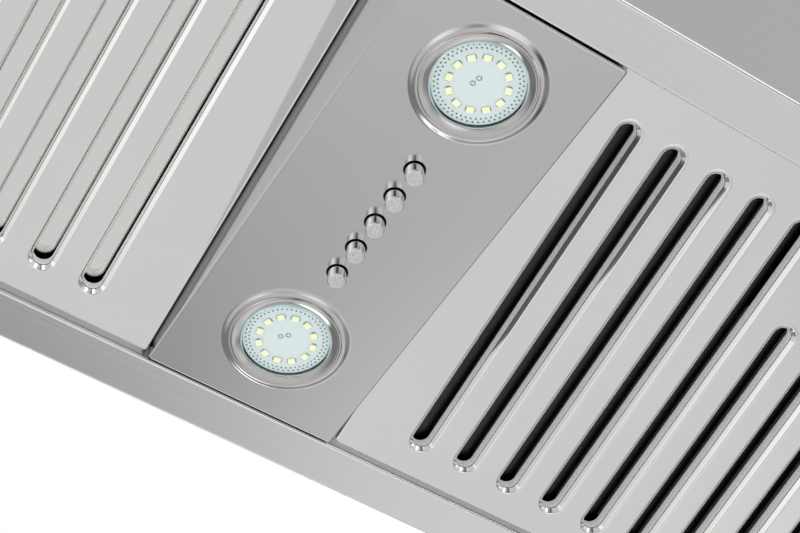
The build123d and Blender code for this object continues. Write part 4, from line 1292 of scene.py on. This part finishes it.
@dataclass
class Button:
    """A push button of turned metal with a pebbled face."""

    finishes: Finishes
    number: int
    y: float
    radius: float = 4.15
    edge: float = 0.55
    collar: float = 1.15
    collar_z: float = 7.6
    collar_height: float = 1.2
    stem: float = 2.6
    stem_length: float = 11.6
    face_z: float = 0.05
    face_radius: float = 3.3
    face_ring: float = 0.35
    pebble: float = 0.75
    pebble_height: float = 0.045

    def build(self) -> bpy.types.Object:
        """Makes the button, with a soft edge and a face in fine rings that carries the pebbles.

        Returns:
            The button.
        """
        top = self.collar_z + self.collar_height
        outline = [(self.face_ring * i, self.face_z) for i in range(10)]
        outline += arc((self.radius - self.edge, self.edge), self.edge, -90, 0, 8)
        outline += [
            (self.radius, self.collar_z),
            (self.radius + self.collar, self.collar_z),
            (self.radius + self.collar, top),
            (self.stem, top),
            (self.stem, top + self.stem_length),
            (0, top + self.stem_length),
        ]
        name = f"button_{self.number}"
        piece = turned(name, outline, Matrix.Translation((0, self.y * MM, 0)), 64)
        for vert in piece.data.vertices:
            reach = math.hypot(vert.co.x, vert.co.y - self.y * MM)
            if vert.co.z < 2 * self.face_z * MM and reach < self.face_radius * MM:
                lift = self.pebble_height * noise.noise(vert.co / (self.pebble * MM))
                vert.co.z = (self.face_z + lift) * MM
        # painted shade: button_metal turns the part behind the panel near black
        return finish_piece(piece, self.finishes["button_metal"], name, [name])


@dataclass
class Lamp:
    """One round lamp: ring, glass, board and its light chips."""

    finishes: Finishes
    trees: Trees
    place: str
    y: float
    phase: float
    pads: tuple[Point, Point]
    underside: float = 6.4
    ring: float = 25.3
    seat_z: float = 5.3
    lip_z: float = 4.7
    hub: float = 23.1
    hub_height: float = 2.4
    bore: float = 20.95
    barrel_outer: float = 21.85
    barrel: float = 7.5
    lens_gap: float = 0.15
    lens_z: float = 4.9
    lens: float = 2.4
    lens_edge: float = 0.8
    board: float = 19.8
    board_z: float = 8.05
    board_thickness: float = 1.25
    chip_circle: float = 12.67
    chips: int = 12
    dots: int = 50

    def matrix(self) -> Matrix:
        """The lamp's axis, as a matrix."""
        return Matrix.Translation((0, self.y * MM, 0))

    def build_ring(self) -> bpy.types.Object:
        """Makes the stepped trim ring.

        Returns:
            The ring.
        """
        r, z, top = self.ring, self.lip_z, self.underside + self.barrel
        outline = softened(
            [
                (r, self.seat_z),
                (r, z + 0.4),
                (r - 0.4, z),
                (r - 1.1, z),
                (r - 1.4, z + 0.1),
                (r - 2.0, z + 0.15),
                (self.bore, z + 0.9),
                (self.bore, top),
                (self.barrel_outer, top),
                (self.barrel_outer, self.seat_z + self.hub_height),
                (self.hub, self.seat_z + self.hub_height),
                (self.hub, self.seat_z),
            ],
            0.15,
        )
        name = f"lamp_ring_{self.place}"
        piece = turned(name, outline, self.matrix(), 128)
        return finish_piece(piece, self.finishes["ring_metal"], replaced=[name], smooth_angle=50)

    def build_lens(self) -> bpy.types.Object:
        """Makes the bevelled glass disc, whose bevel and rim have a finish of their own.

        Returns:
            The lens.
        """
        r, z, edge, top = self.bore - self.lens_gap, self.lens_z, self.lens_edge, self.lens_z + self.lens
        outline = softened([(0, z), (r - edge, z), (r, z + edge), (r, top), (0, top)], 0.12, 3)
        name = f"lamp_lens_{self.place}"
        piece = turned(name, outline, self.matrix(), 128)
        finish_piece(piece, self.finishes["lens_glass"], replaced=[name])
        # painted light: the bevel and rim take lens_edge, which glows faintly
        piece.data.materials.append(self.finishes["lens_edge"])
        for polygon in piece.data.polygons:
            polygon.material_index = int(abs(polygon.normal.z) < 0.9)
        return piece

    def build_board(self) -> None:
        """Makes the white board, with its solder dots and its two test pads."""
        z, top = self.board_z, self.board_z + self.board_thickness
        outline = softened([(0, z), (self.board, z), (self.board, top), (0, top)], 0.1)
        name = f"led_board_{self.place}"
        finish_piece(turned(name, outline, self.matrix()), self.finishes["board_white"], replaced=[name])
        level = Matrix.Translation((0, 0, z * MM))
        dot = turned("dot", [(0, -0.03), (0.36, -0.03), (0.42, 0), (0, 0)], level, 10)
        for row, share in enumerate((0.93, 0.85)):
            label, radius = f"board_dots_{self.place}_{row}", share * self.board
            ring = self.trees.ring_of(label, dot, self.dots, radius, row * 0.06, "via_dark", self.matrix())
            finish_piece(ring, self.finishes["via_dark"])
        bpy.data.objects.remove(dot)
        for i, (x, y) in enumerate(self.pads):
            pad = [(0.85, -0.12), (1.2, -0.12), (1.25, 0), (0.8, 0)]
            spot = Matrix.Translation((x * MM, (self.y + y) * MM, z * MM))
            finish_piece(turned(f"test_pad_{self.place}_{i}", pad, spot, 24), self.finishes["solder"])

    def build_chips(self) -> None:
        """Makes the chips: a pale case, a yellow window and two terminals each."""
        z = self.board_z
        case = (-1.45, 1.45, -1.8, 1.8, -0.6, 0.0)
        window = (-1.4, 1.4, -1.6, 1.6, -0.7, -0.55)
        terminals = tuple((-0.9, 0.9, low, low + 0.45, -0.2, 0) for low in (-2.15, 1.7))
        parts = {
            "chip_case": ((case,), "chip_case", []),
            "chip_window": ((window,), "chip_yellow", [f"led_chips_{self.place}"]),
            "chip_terminals": (terminals, "solder", []),
        }
        for label, (boxes, finish, replaced) in parts.items():
            shape = bmesh.new()
            for x0, x1, y0, y1, z0, z1 in boxes:
                add_block(shape, (x0, y0, z + z0), (x1, y1, z + z1))
            chip = from_bmesh(label, shape)
            ring = self.trees.ring_of(
                f"{label}_{self.place}", chip, self.chips, self.chip_circle, self.phase, finish, self.matrix()
            )
            bpy.data.objects.remove(chip)
            finish_piece(ring, self.finishes[finish], replaced=replaced)
            soften_edges(ring, 0.12)

    def build(self) -> None:
        """Makes the whole lamp."""
        self.build_ring()
        self.build_lens()
        self.build_board()
        self.build_chips()


@dataclass
class BaffleFilter:
    """One tilted filter: an outer and an inner slotted plate whose slots lie behind each other's lands."""

    finishes: Finishes
    trees: Trees
    side: str
    x: float = 236.5
    rear_y: float = FILTER_REAR_Y
    rear_z: float = FILTER_REAR_Z
    tilt: float = FILTER_TILT
    width: float = 372.6
    length: float = 231.0
    depth: float = 14.0
    sheet: float = 0.7
    corner: float = 1.0
    hem: float = 4.0
    slots: int = 13
    pitch: float = 24.85
    slot_width: float = 13.3
    throat: float = 9.2
    rim_depth: float = 8.3
    slot_length: float = 189.5
    short_length: float = 140.8
    short_slots: tuple[int, int] = (5, 8)
    rear_margin: float = 13.4
    plate_gap: float = 0.1
    strip: float = 0.15
    ridge: float = 1.4
    knob_v: float = -187.0
    travel: float = 8.0
    neck_hole: float = 8.6

    def matrix(self) -> Matrix:
        """The filter's own frame: X along the hood, Y down its slope to the rear, Z into the hood."""
        place = Matrix.Translation(Vector((SIDES[self.side] * self.x, self.rear_y, self.rear_z)) * MM)
        return place @ Matrix.Rotation(-math.radians(self.tilt), 4, "X")

    def rim(self, depth: float) -> list[Point]:
        """Works out the section of a slot rim: a low ridge, a slope and a deep wall.

        Args:
            depth: How deep the wall reaches.

        Returns:
            The closed section, as distance inwards from the ridge's foot and depth.
        """
        roll, bend = (self.slot_width - self.throat) / 2, 0.6
        outer = arc((0, bend), bend, -90, -45, 4) + arc((roll - bend, roll), bend, -45, 0, 4)
        inner = [(roll - self.sheet, roll + 0.04), (-0.04, self.sheet)]
        tip = arc((roll - self.sheet / 2, depth - self.sheet / 2), self.sheet / 2, 0, 180, 6)
        ridge = [(-self.ridge, 0), (-0.9, -0.02), (-0.5, -0.06), (-0.2, -0.06)]
        points = [*ridge, *outer, *tip, *inner, (-self.ridge, self.sheet)]
        return [(a + self.ridge, h) for a, h in points]

    def wall(self, height: float, hem: float) -> list[Point]:
        """Works out the section of the plate's bent edge.

        Args:
            height: How deep the edge reaches.
            hem: How far it turns in at the end, or 0.

        Returns:
            The section, as distance outwards from the face and depth.
        """
        r, t = self.corner, self.sheet
        points = [(-self.strip, 0), *arc((0, r), r, -90, 0, 6)]
        if hem:
            points += arc((r - 1.0, height - 1.0), 1.0, 0, 90, 6)
            points += [(r - hem, height), (r - hem, height - t), (r - 1.0, height - t), (r - t, height - 1.0)]
        else:
            points += [(r, height), (r - t, height)]
        points += [*arc((0, r), r - t, 0, -90, 6), (-self.strip, t)]
        return [(a + self.strip, h) for a, h in points]

    def plate(self, name: str, inner: bool) -> bpy.types.Object:
        """Runs the slotted-sheet tree for one of the two plates.

        Args:
            name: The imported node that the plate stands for.
            inner: Whether it is the inner plate.

        Returns:
            The plate.
        """
        inset = self.sheet + self.plate_gap if inner else 0.0
        first, last = self.short_slots
        edge = self.corner + self.strip
        height = self.depth - 2 * inset if inner else self.depth
        rim = section_object("rim", [(-a, -h) for a, h in self.rim(self.rim_depth)], False)
        hem = 0 if inner else self.hem
        wall = section_object("wall", [(a, -h) for a, h in self.wall(height, hem)], False)
        values = {
            "Width": (self.width - 2 * inset - 2 * edge) * MM,
            "Length": (self.length - 2 * inset - 2 * edge) * MM,
            "Corner": 0.4 * MM,
            "Slots": self.slots - 1 if inner else self.slots,
            "Pitch": self.pitch * MM,
            "Slot Width": (self.slot_width + 2 * self.ridge) * MM,
            "Slot Length": (self.slot_length + 2 * self.ridge) * MM,
            "Short Length": (self.short_length + 2 * self.ridge) * MM,
            "Short From": first - 1 if inner else first,
            "Short To": last,
            "Rear Margin": (self.rear_margin - inset - edge - self.ridge) * MM,
            "Sheet": self.sheet * MM,
            "Hole Width": self.neck_hole * MM,
            "Hole Length": (self.neck_hole + self.travel) * MM,
            "Hole Place": (self.knob_v + self.travel / 2 + inset + edge) * MM,
            "Rim Section": rim,
            "Edge Section": wall,
            # the right inner plate's finish carries painted shade
            "Finish": self.finishes[f"baffle_steel_{self.side}" if inner else "filter_steel"],
        }
        shift = Matrix.Translation((0, -(inset + edge) * MM, 0))
        if inner:
            top = self.depth - self.sheet - self.plate_gap
            shift = Matrix.Translation((0, -(inset + edge) * MM, top * MM)) @ Matrix.Scale(-1, 4, (0, 0, 1))
        piece = run_tree(name, self.trees.slotted, values, self.matrix() @ shift, [rim, wall])
        finish_piece(piece, self.finishes["filter_steel"], f"filter_{self.side}", [name], 40)
        keep_flats(piece)
        return piece

    def build_knob(self) -> bpy.types.Object:
        """Makes the turned latch knob.

        Returns:
            The knob.
        """
        outline = softened(
            [
                (0, 1.0),
                (4, 1.0),
                (4, -3.0),
                (5, -5.0),
                (9, -8.0),
                (10, -9.0),
                (10, -12.0),
                (8.5, -14.0),
                (0, -14.0),
            ],
            0.8,
            5,
        )
        name = f"latch_knob_{self.side}"
        place = self.matrix() @ Matrix.Translation((0, self.knob_v * MM, 0))
        piece = turned(name, outline, place, 64)
        return finish_piece(piece, self.finishes["polished_metal"], f"latch_{self.side}", [name], 40)

    def build(self) -> None:
        """Makes both plates and the knob."""
        self.plate(f"filter_face_{self.side}", False)
        self.plate(f"filter_back_{self.side}", True)
        self.build_knob()


@dataclass
class TopFittings:
    """The screws, rivets, knockouts, bead and seam on the housings above the canopy."""

    finishes: Finishes
    trees: Trees
    plate_z: float = 147.4
    plate_screws_x: tuple[float, ...] = (-420.0, -300.0, -225.0, 225.0, 300.0, 420.0)
    plate_screws_y: tuple[float, ...] = (-70.0, 0.0, 70.0)
    plate_edge: tuple[float, float] = (442.0, 137.5)
    box_flange_z: float = 148.4
    box_screws_x: tuple[float, ...] = (-150.0, -75.0, 0.0, 75.0, 150.0)
    box_screws_y: tuple[float, ...] = (-60.0, 12.0, 84.0)
    box_edge_x: float = 177.5
    box_edges_y: tuple[float, float] = (-107.5, 131.5)
    cover_z: float = 196.4
    cover_screws: tuple[Point, ...] = ((200.0, -50.0), (290.0, -50.0), (200.0, 20.0), (290.0, 20.0))
    collar_y: float = -20.0
    collar: float = 75.0
    collar_top: float = 335.4
    collar_flange_z: float = 286.9
    rivets: int = 10
    rivet_circle: float = 80.6
    bead: float = 1.1
    bead_z: float = 322.0
    seam_width: float = 7.0
    seam: float = 0.9
    knockout: float = 11.0
    knockout_y: float = -60.0
    knockout_x: tuple[float, ...] = (220.0, 262.0)
    knockout_z: float = 171.4

    def screw(self) -> bpy.types.Object:
        """Makes a hexagonal screw head on its washer.

        Returns:
            The head, standing on the origin.
        """
        shape = bmesh.new()
        for radius, low, high, sides in ((4.2, -0.1, 0.8, 20), (3.3, 0.7, 3.2, 6)):
            made = bmesh.ops.create_cone(
                shape,
                cap_ends=True,
                segments=sides,
                radius1=radius * MM,
                radius2=(radius - 0.15) * MM,
                depth=(high - low) * MM,
            )
            for vert in made["verts"]:
                vert.co.z += (low + high) / 2 * MM
        return from_bmesh("screw", shape, False)

    def build_screws(self) -> None:
        """Sets the screws of the top plate, the blower box and the terminal cover."""
        out_x, out_y = self.plate_edge
        edge_x = self.box_edge_x
        plate = [(x, y) for y in (-out_y, out_y) for x in self.plate_screws_x]
        plate += [(x, y) for x in (-out_x, out_x) for y in self.plate_screws_y]
        box = [(x, y) for y in self.box_edges_y for x in self.box_screws_x]
        box += [(x, y) for x in (-edge_x, edge_x) for y in self.box_screws_y]
        rows = {
            "top_plate_screws": (plate, self.plate_z),
            "blower_box_screws": (box, self.box_flange_z),
            "terminal_cover_screws": (self.cover_screws, self.cover_z),
        }
        head = self.screw()
        for name, (spots, level) in rows.items():
            places = [(x, y, level) for x, y in spots]
            screws = self.trees.repeated(name, head, places, "polished_metal")
            finish_piece(screws, self.finishes["polished_metal"])
            soften_edges(screws, 0.25)
        bpy.data.objects.remove(head)

    def build_collar(self) -> None:
        """Sets the collar's rivets, its rolled bead and its lock seam."""
        axis = Matrix.Translation((0, self.collar_y * MM, 0))
        outline = [(0, -0.1), (2.6, -0.1), *arc((0, -0.1), 2.6, 4, 86, 5), (0, 1.5)]
        dome = turned("dome", outline, Matrix(), 20)
        for vert in dome.data.vertices:
            vert.co.z = min(vert.co.z * 0.6, 1.5 * MM)
        place = axis @ Matrix.Translation((0, 0, self.collar_flange_z * MM))
        circle_of = ("collar_rivets", dome, self.rivets, self.rivet_circle, 0.3)
        ring = self.trees.ring_of(*circle_of, "polished_metal", place)
        bpy.data.objects.remove(dome)
        finish_piece(ring, self.finishes["polished_metal"], smooth_angle=50)
        bulge = [(self.collar - 0.1 + r, h) for r, h in arc((0, self.bead_z), self.bead, -90, 90, 10)]
        root = self.collar - 0.3
        bead = turned("collar_bead", [(root, bulge[0][1]), *bulge, (root, bulge[-1][1])], axis)
        finish_piece(bead, self.finishes["zinc_sheet"], smooth_angle=60)
        shape = bmesh.new()
        rear = self.collar_y + self.collar
        half = self.seam_width / 2
        low, high = (-half, rear - 0.6, self.collar_flange_z), (half, rear + self.seam, self.collar_top - 0.3)
        add_block(shape, low, high)
        seam = finish_piece(from_bmesh("collar_seam", shape), self.finishes["zinc_sheet"])
        soften_edges(seam, 0.3)

    def build_knockouts(self) -> None:
        """Presses the round knockouts into the terminal box's front."""
        r = self.knockout
        rim = [(r, 0.15), (r - 0.4, 0.55), (r - 1.4, 0.55), (r - 2.2, 0.1)]
        outline = [(0, -0.2), (r, -0.2), *rim, (0, 0.1)]
        for number, x in enumerate(self.knockout_x, start=1):
            spot = Matrix.Translation(Vector((x, self.knockout_y, self.knockout_z)) * MM)
            place = spot @ Matrix.Rotation(math.radians(90), 4, "X")
            finish_piece(turned(f"knockout_{number}", outline, place, 40), self.finishes["zinc_sheet"])

    def build(self) -> None:
        """Makes all the small fittings."""
        self.build_screws()
        self.build_collar()
        self.build_knockouts()


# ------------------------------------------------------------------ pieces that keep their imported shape
@dataclass(frozen=True)
class Dressing:
    """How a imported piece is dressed: its finish and the rounding of its edges."""

    finish: str
    edge: float = 0.15


DRESSINGS = {
    "canopy_side_left": Dressing("side_steel", 0.12),
    "canopy_side_right": Dressing("side_steel", 0.12),
    "top_plate": Dressing("zinc_sheet", 0.15),
    "front_rail_left": Dressing("zinc_dark", 0.1),
    "front_rail_right": Dressing("zinc_dark", 0.1),
    "catch_left": Dressing("spring_steel", 0.05),
    "catch_right": Dressing("spring_steel", 0.05),
    "panel_cover": Dressing("zinc_sheet", 0.1),
    "panel_bracket_front": Dressing("zinc_sheet", 0.1),
    "panel_bracket_rear": Dressing("zinc_sheet", 0.1),
    "cable_conduit": Dressing("zinc_sheet", 0.15),
    "led_driver": Dressing("moulding_white", 0.4),
    "switch_module": Dressing("moulding_black", 0.3),
    "lamp_body_front": Dressing("cast_aluminium", 0.15),
    "lamp_body_rear": Dressing("cast_aluminium", 0.15),
    "latch_cover_left": Dressing("latch_steel", 0.08),
    "latch_cover_right": Dressing("latch_steel", 0.08),
    "latch_bolt_left": Dressing("latch_steel", 0.08),
    "latch_bolt_right": Dressing("latch_steel", 0.08),
    "latch_spring_left": Dressing("spring_steel", 0.0),
    "latch_spring_right": Dressing("spring_steel", 0.0),
    "blower_box": Dressing("zinc_sheet", 0.3),
    "scroll": Dressing("zinc_sheet", 0.15),
    "inlet_rings": Dressing("zinc_sheet", 0.1),
    "impeller": Dressing("zinc_sheet", 0.0),
    "motor": Dressing("motor_enamel", 0.3),
    "motor_shaft": Dressing("spring_steel", 0.2),
    "motor_mount": Dressing("zinc_sheet", 0.15),
    "capacitor": Dressing("moulding_white", 0.0),
    "duct_collar": Dressing("zinc_sheet", 0.15),
    "damper_pin": Dressing("spring_steel", 0.1),
    "damper_front": Dressing("zinc_sheet", 0.1),
    "damper_rear": Dressing("zinc_sheet", 0.1),
    "terminal_box": Dressing("zinc_sheet", 0.2),
    "terminal_cover": Dressing("zinc_sheet", 0.2),
    "cable_gland": Dressing("moulding_black", 0.3),
}


def dress(frame: dict[str, Any], finishes: Finishes, name: str, dressing: Dressing) -> bpy.types.Object:
    """Makes a smooth, soft-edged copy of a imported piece.

    Args:
        finishes: The finishes.
        name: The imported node.
        dressing: Its finish and rounding.

    Returns:
        The copy, which stands for the node.
    """
    node = frame["nodes"][name]
    shape = bmesh.new()
    shape.from_mesh(node.data)
    bmesh.ops.remove_doubles(shape, verts=shape.verts, dist=2 * SAME_SPOT)
    bmesh.ops.dissolve_limit(shape, angle_limit=math.radians(0.3), verts=shape.verts, edges=shape.edges)
    piece = from_bmesh(f"{name}_sheet", shape, False)
    finish_piece(piece, finishes[dressing.finish], node["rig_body"], [name], 35)
    if dressing.edge:
        soften_edges(piece, dressing.edge, 2, 35)
    return piece


# ------------------------------------------------------------------ studio
@dataclass(frozen=True)
class SoftBox:
    """A soft patch of light: where its middle lies, the cosines of its rim and its core, and its power."""

    way: tuple[float, float, float]
    rim: float
    core: float
    power: float


@dataclass
class Studio:
    """The camera, the pale floor and the soft light around the hood.

    The eye is in millimetres. The three directions are the picture's right, down and depth.
    """

    eye: tuple[float, float, float] = (-223.4, -400.1, -648.9)
    right: tuple[float, float, float] = (0.8487, -0.5286, 0.0165)
    down: tuple[float, float, float] = (0.4346, 0.6794, -0.5912)
    ahead: tuple[float, float, float] = (0.3013, 0.5090, 0.8063)
    lens: float = 83.32
    floor_z: float = -1.4
    floor_radius: float = 90.0
    floor_tone: float = 0.94
    floor_glow: float = 0.3
    base: float = 0.03
    boxes: tuple[SoftBox, ...] = (
        # under the hood, as the picture's steel shows it
        SoftBox((0.18, 0.10, -0.97), 0.78, 0.97, 0.66),
        SoftBox((0.05, 0.90, -0.42), 0.75, 0.95, 0.22),
        SoftBox((0.52, 0.62, -0.58), 0.93, 0.985, 0.55),
        SoftBox((0.72, 0.20, -0.66), 0.93, 0.985, 0.30),
        SoftBox((0.21, 0.916, -0.343), 0.98, 0.995, 1.6),
        SoftBox((0.30, -0.951, -0.067), 0.975, 0.99, 1.5),
        SoftBox((-0.50, -0.85, -0.10), 0.97, 0.99, 1.0),
        SoftBox((0.90, -0.42, -0.10), 0.97, 0.99, 1.0),
        SoftBox((-0.75, 0.30, -0.60), 0.75, 0.93, 0.65),
        SoftBox((-0.62, -0.10, -0.78), 0.88, 0.97, 0.60),
        SoftBox((0.25, -0.55, -0.80), 0.88, 0.97, 0.70),
        # round the walls
        SoftBox((-0.68, -0.66, -0.32), 0.84, 0.97, 0.60),
        SoftBox((0.66, 0.70, -0.22), 0.90, 0.985, 0.30),
        SoftBox((1.0, -0.06, 0.0), 0.955, 0.99, 0.60),
        SoftBox((0.0, -1.0, 0.0), 0.93, 0.99, 0.55),
        SoftBox((-1.0, 0.0, -0.1), 0.90, 0.98, 0.50),
        # over the housings
        SoftBox((0.0, 0.0, 1.0), 0.0, 0.6, 0.28),
        SoftBox((0.5, -0.6, 0.6), 0.6, 0.95, 0.14),
        SoftBox((-0.6, 0.3, 0.75), 0.6, 0.95, 0.7),
        SoftBox((-0.66, 0.66, 0.40), 0.75, 0.95, 0.5),
        SoftBox((0.70, -0.70, 0.22), 0.80, 0.95, 0.7),
    )

    def build_camera(self) -> None:
        """Sets the camera where the picture was taken."""
        data = bpy.data.cameras.new("camera")
        data.lens = self.lens
        data.sensor_width = 36.0
        data.clip_start = 0.01
        data.clip_end = 50.0
        camera = bpy.data.objects.new("camera", data)
        bpy.context.scene.collection.objects.link(camera)
        turn = Matrix([self.right, [-c for c in self.down], [-c for c in self.ahead]]).transposed()
        camera.matrix_world = Matrix.Translation(Vector(self.eye) * MM) @ turn.to_4x4()
        bpy.context.scene.camera = camera

    def build_floor(self) -> None:
        """Lays the floor far below, out of the metal's reflections."""
        shape = bmesh.new()
        bmesh.ops.create_circle(shape, cap_ends=True, segments=128, radius=self.floor_radius)
        floor = from_bmesh("floor", shape, False)
        floor.location.z = self.floor_z
        material = bpy.data.materials.new("floor")
        material.use_nodes = True
        shader = material.node_tree.nodes["Principled BSDF"]
        tone = self.floor_tone
        shader.inputs["Base Color"].default_value = (tone, tone, tone, 1)
        shader.inputs["Emission Color"].default_value = (1, 1, 1, 1)
        shader.inputs["Emission Strength"].default_value = self.floor_glow
        shader.inputs["Roughness"].default_value = 0.9
        floor.data.materials.append(material)
        floor.visible_glossy = False

    def build_world(self) -> None:
        """Surrounds the hood with a pale room whose brightness depends on the direction."""
        world = bpy.data.worlds.new("studio")
        world.use_nodes = True
        bpy.context.scene.world = world
        tree = world.node_tree
        tree.nodes.clear()
        way = add_node(tree, "ShaderNodeTexCoord").outputs["Generated"]
        total: Any = self.base
        for box in self.boxes:
            near = add_node(
                tree,
                "ShaderNodeVectorMath",
                {0: way, 1: tuple(Vector(box.way).normalized())},
                operation="DOT_PRODUCT",
            ).outputs["Value"]
            lobe = add_node(
                tree,
                "ShaderNodeMapRange",
                {"Value": near, 1: box.rim, 2: box.core, 3: 0.0, 4: box.power},
                interpolation_type="SMOOTHSTEP",
            ).outputs[0]
            total = add_node(tree, "ShaderNodeMath", {0: total, 1: lobe}, operation="ADD").outputs[0]
        grey = add_node(tree, "ShaderNodeCombineColor", {0: total, 1: total, 2: total}).outputs[0]
        room = add_node(tree, "ShaderNodeBackground", {"Color": grey, "Strength": 1.0}).outputs[0]
        white = add_node(tree, "ShaderNodeBackground", {"Color": (1, 1, 1, 1), "Strength": 1.0}).outputs[0]
        seen = add_node(tree, "ShaderNodeLightPath").outputs["Is Camera Ray"]
        mixed = add_node(tree, "ShaderNodeMixShader", {0: seen, 1: room, 2: white}).outputs[0]
        add_node(tree, "ShaderNodeOutputWorld", {"Surface": mixed})

    def build(self) -> None:
        """Sets up the whole studio."""
        self.build_camera()
        self.build_floor()
        self.build_world()
        bpy.context.scene.view_settings.view_transform = "Standard"


def main() -> None:
    """Builds the hood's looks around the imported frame."""
    logging.basicConfig(level=logging.INFO, format="%(name)s: %(message)s")
    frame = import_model()
    finishes = Finishes()
    trees = Trees(finishes)
    Canopy(finishes).build()
    panel = ControlPanel(finishes)
    panel.build()
    for number, y in enumerate(panel.buttons, start=1):
        Button(finishes, number, y).build()
    for (place, (phase, pads)), y in zip(LAMP_TURNS.items(), panel.lamps):
        Lamp(finishes, trees, place, y, phase, pads).build()
    for side in SIDES:
        BaffleFilter(finishes, trees, side).build()
    TopFittings(finishes, trees).build()
    for name, dressing in DRESSINGS.items():
        dress(frame, finishes, name, dressing)
    Studio().build()


if __name__ == "__main__":
    main()
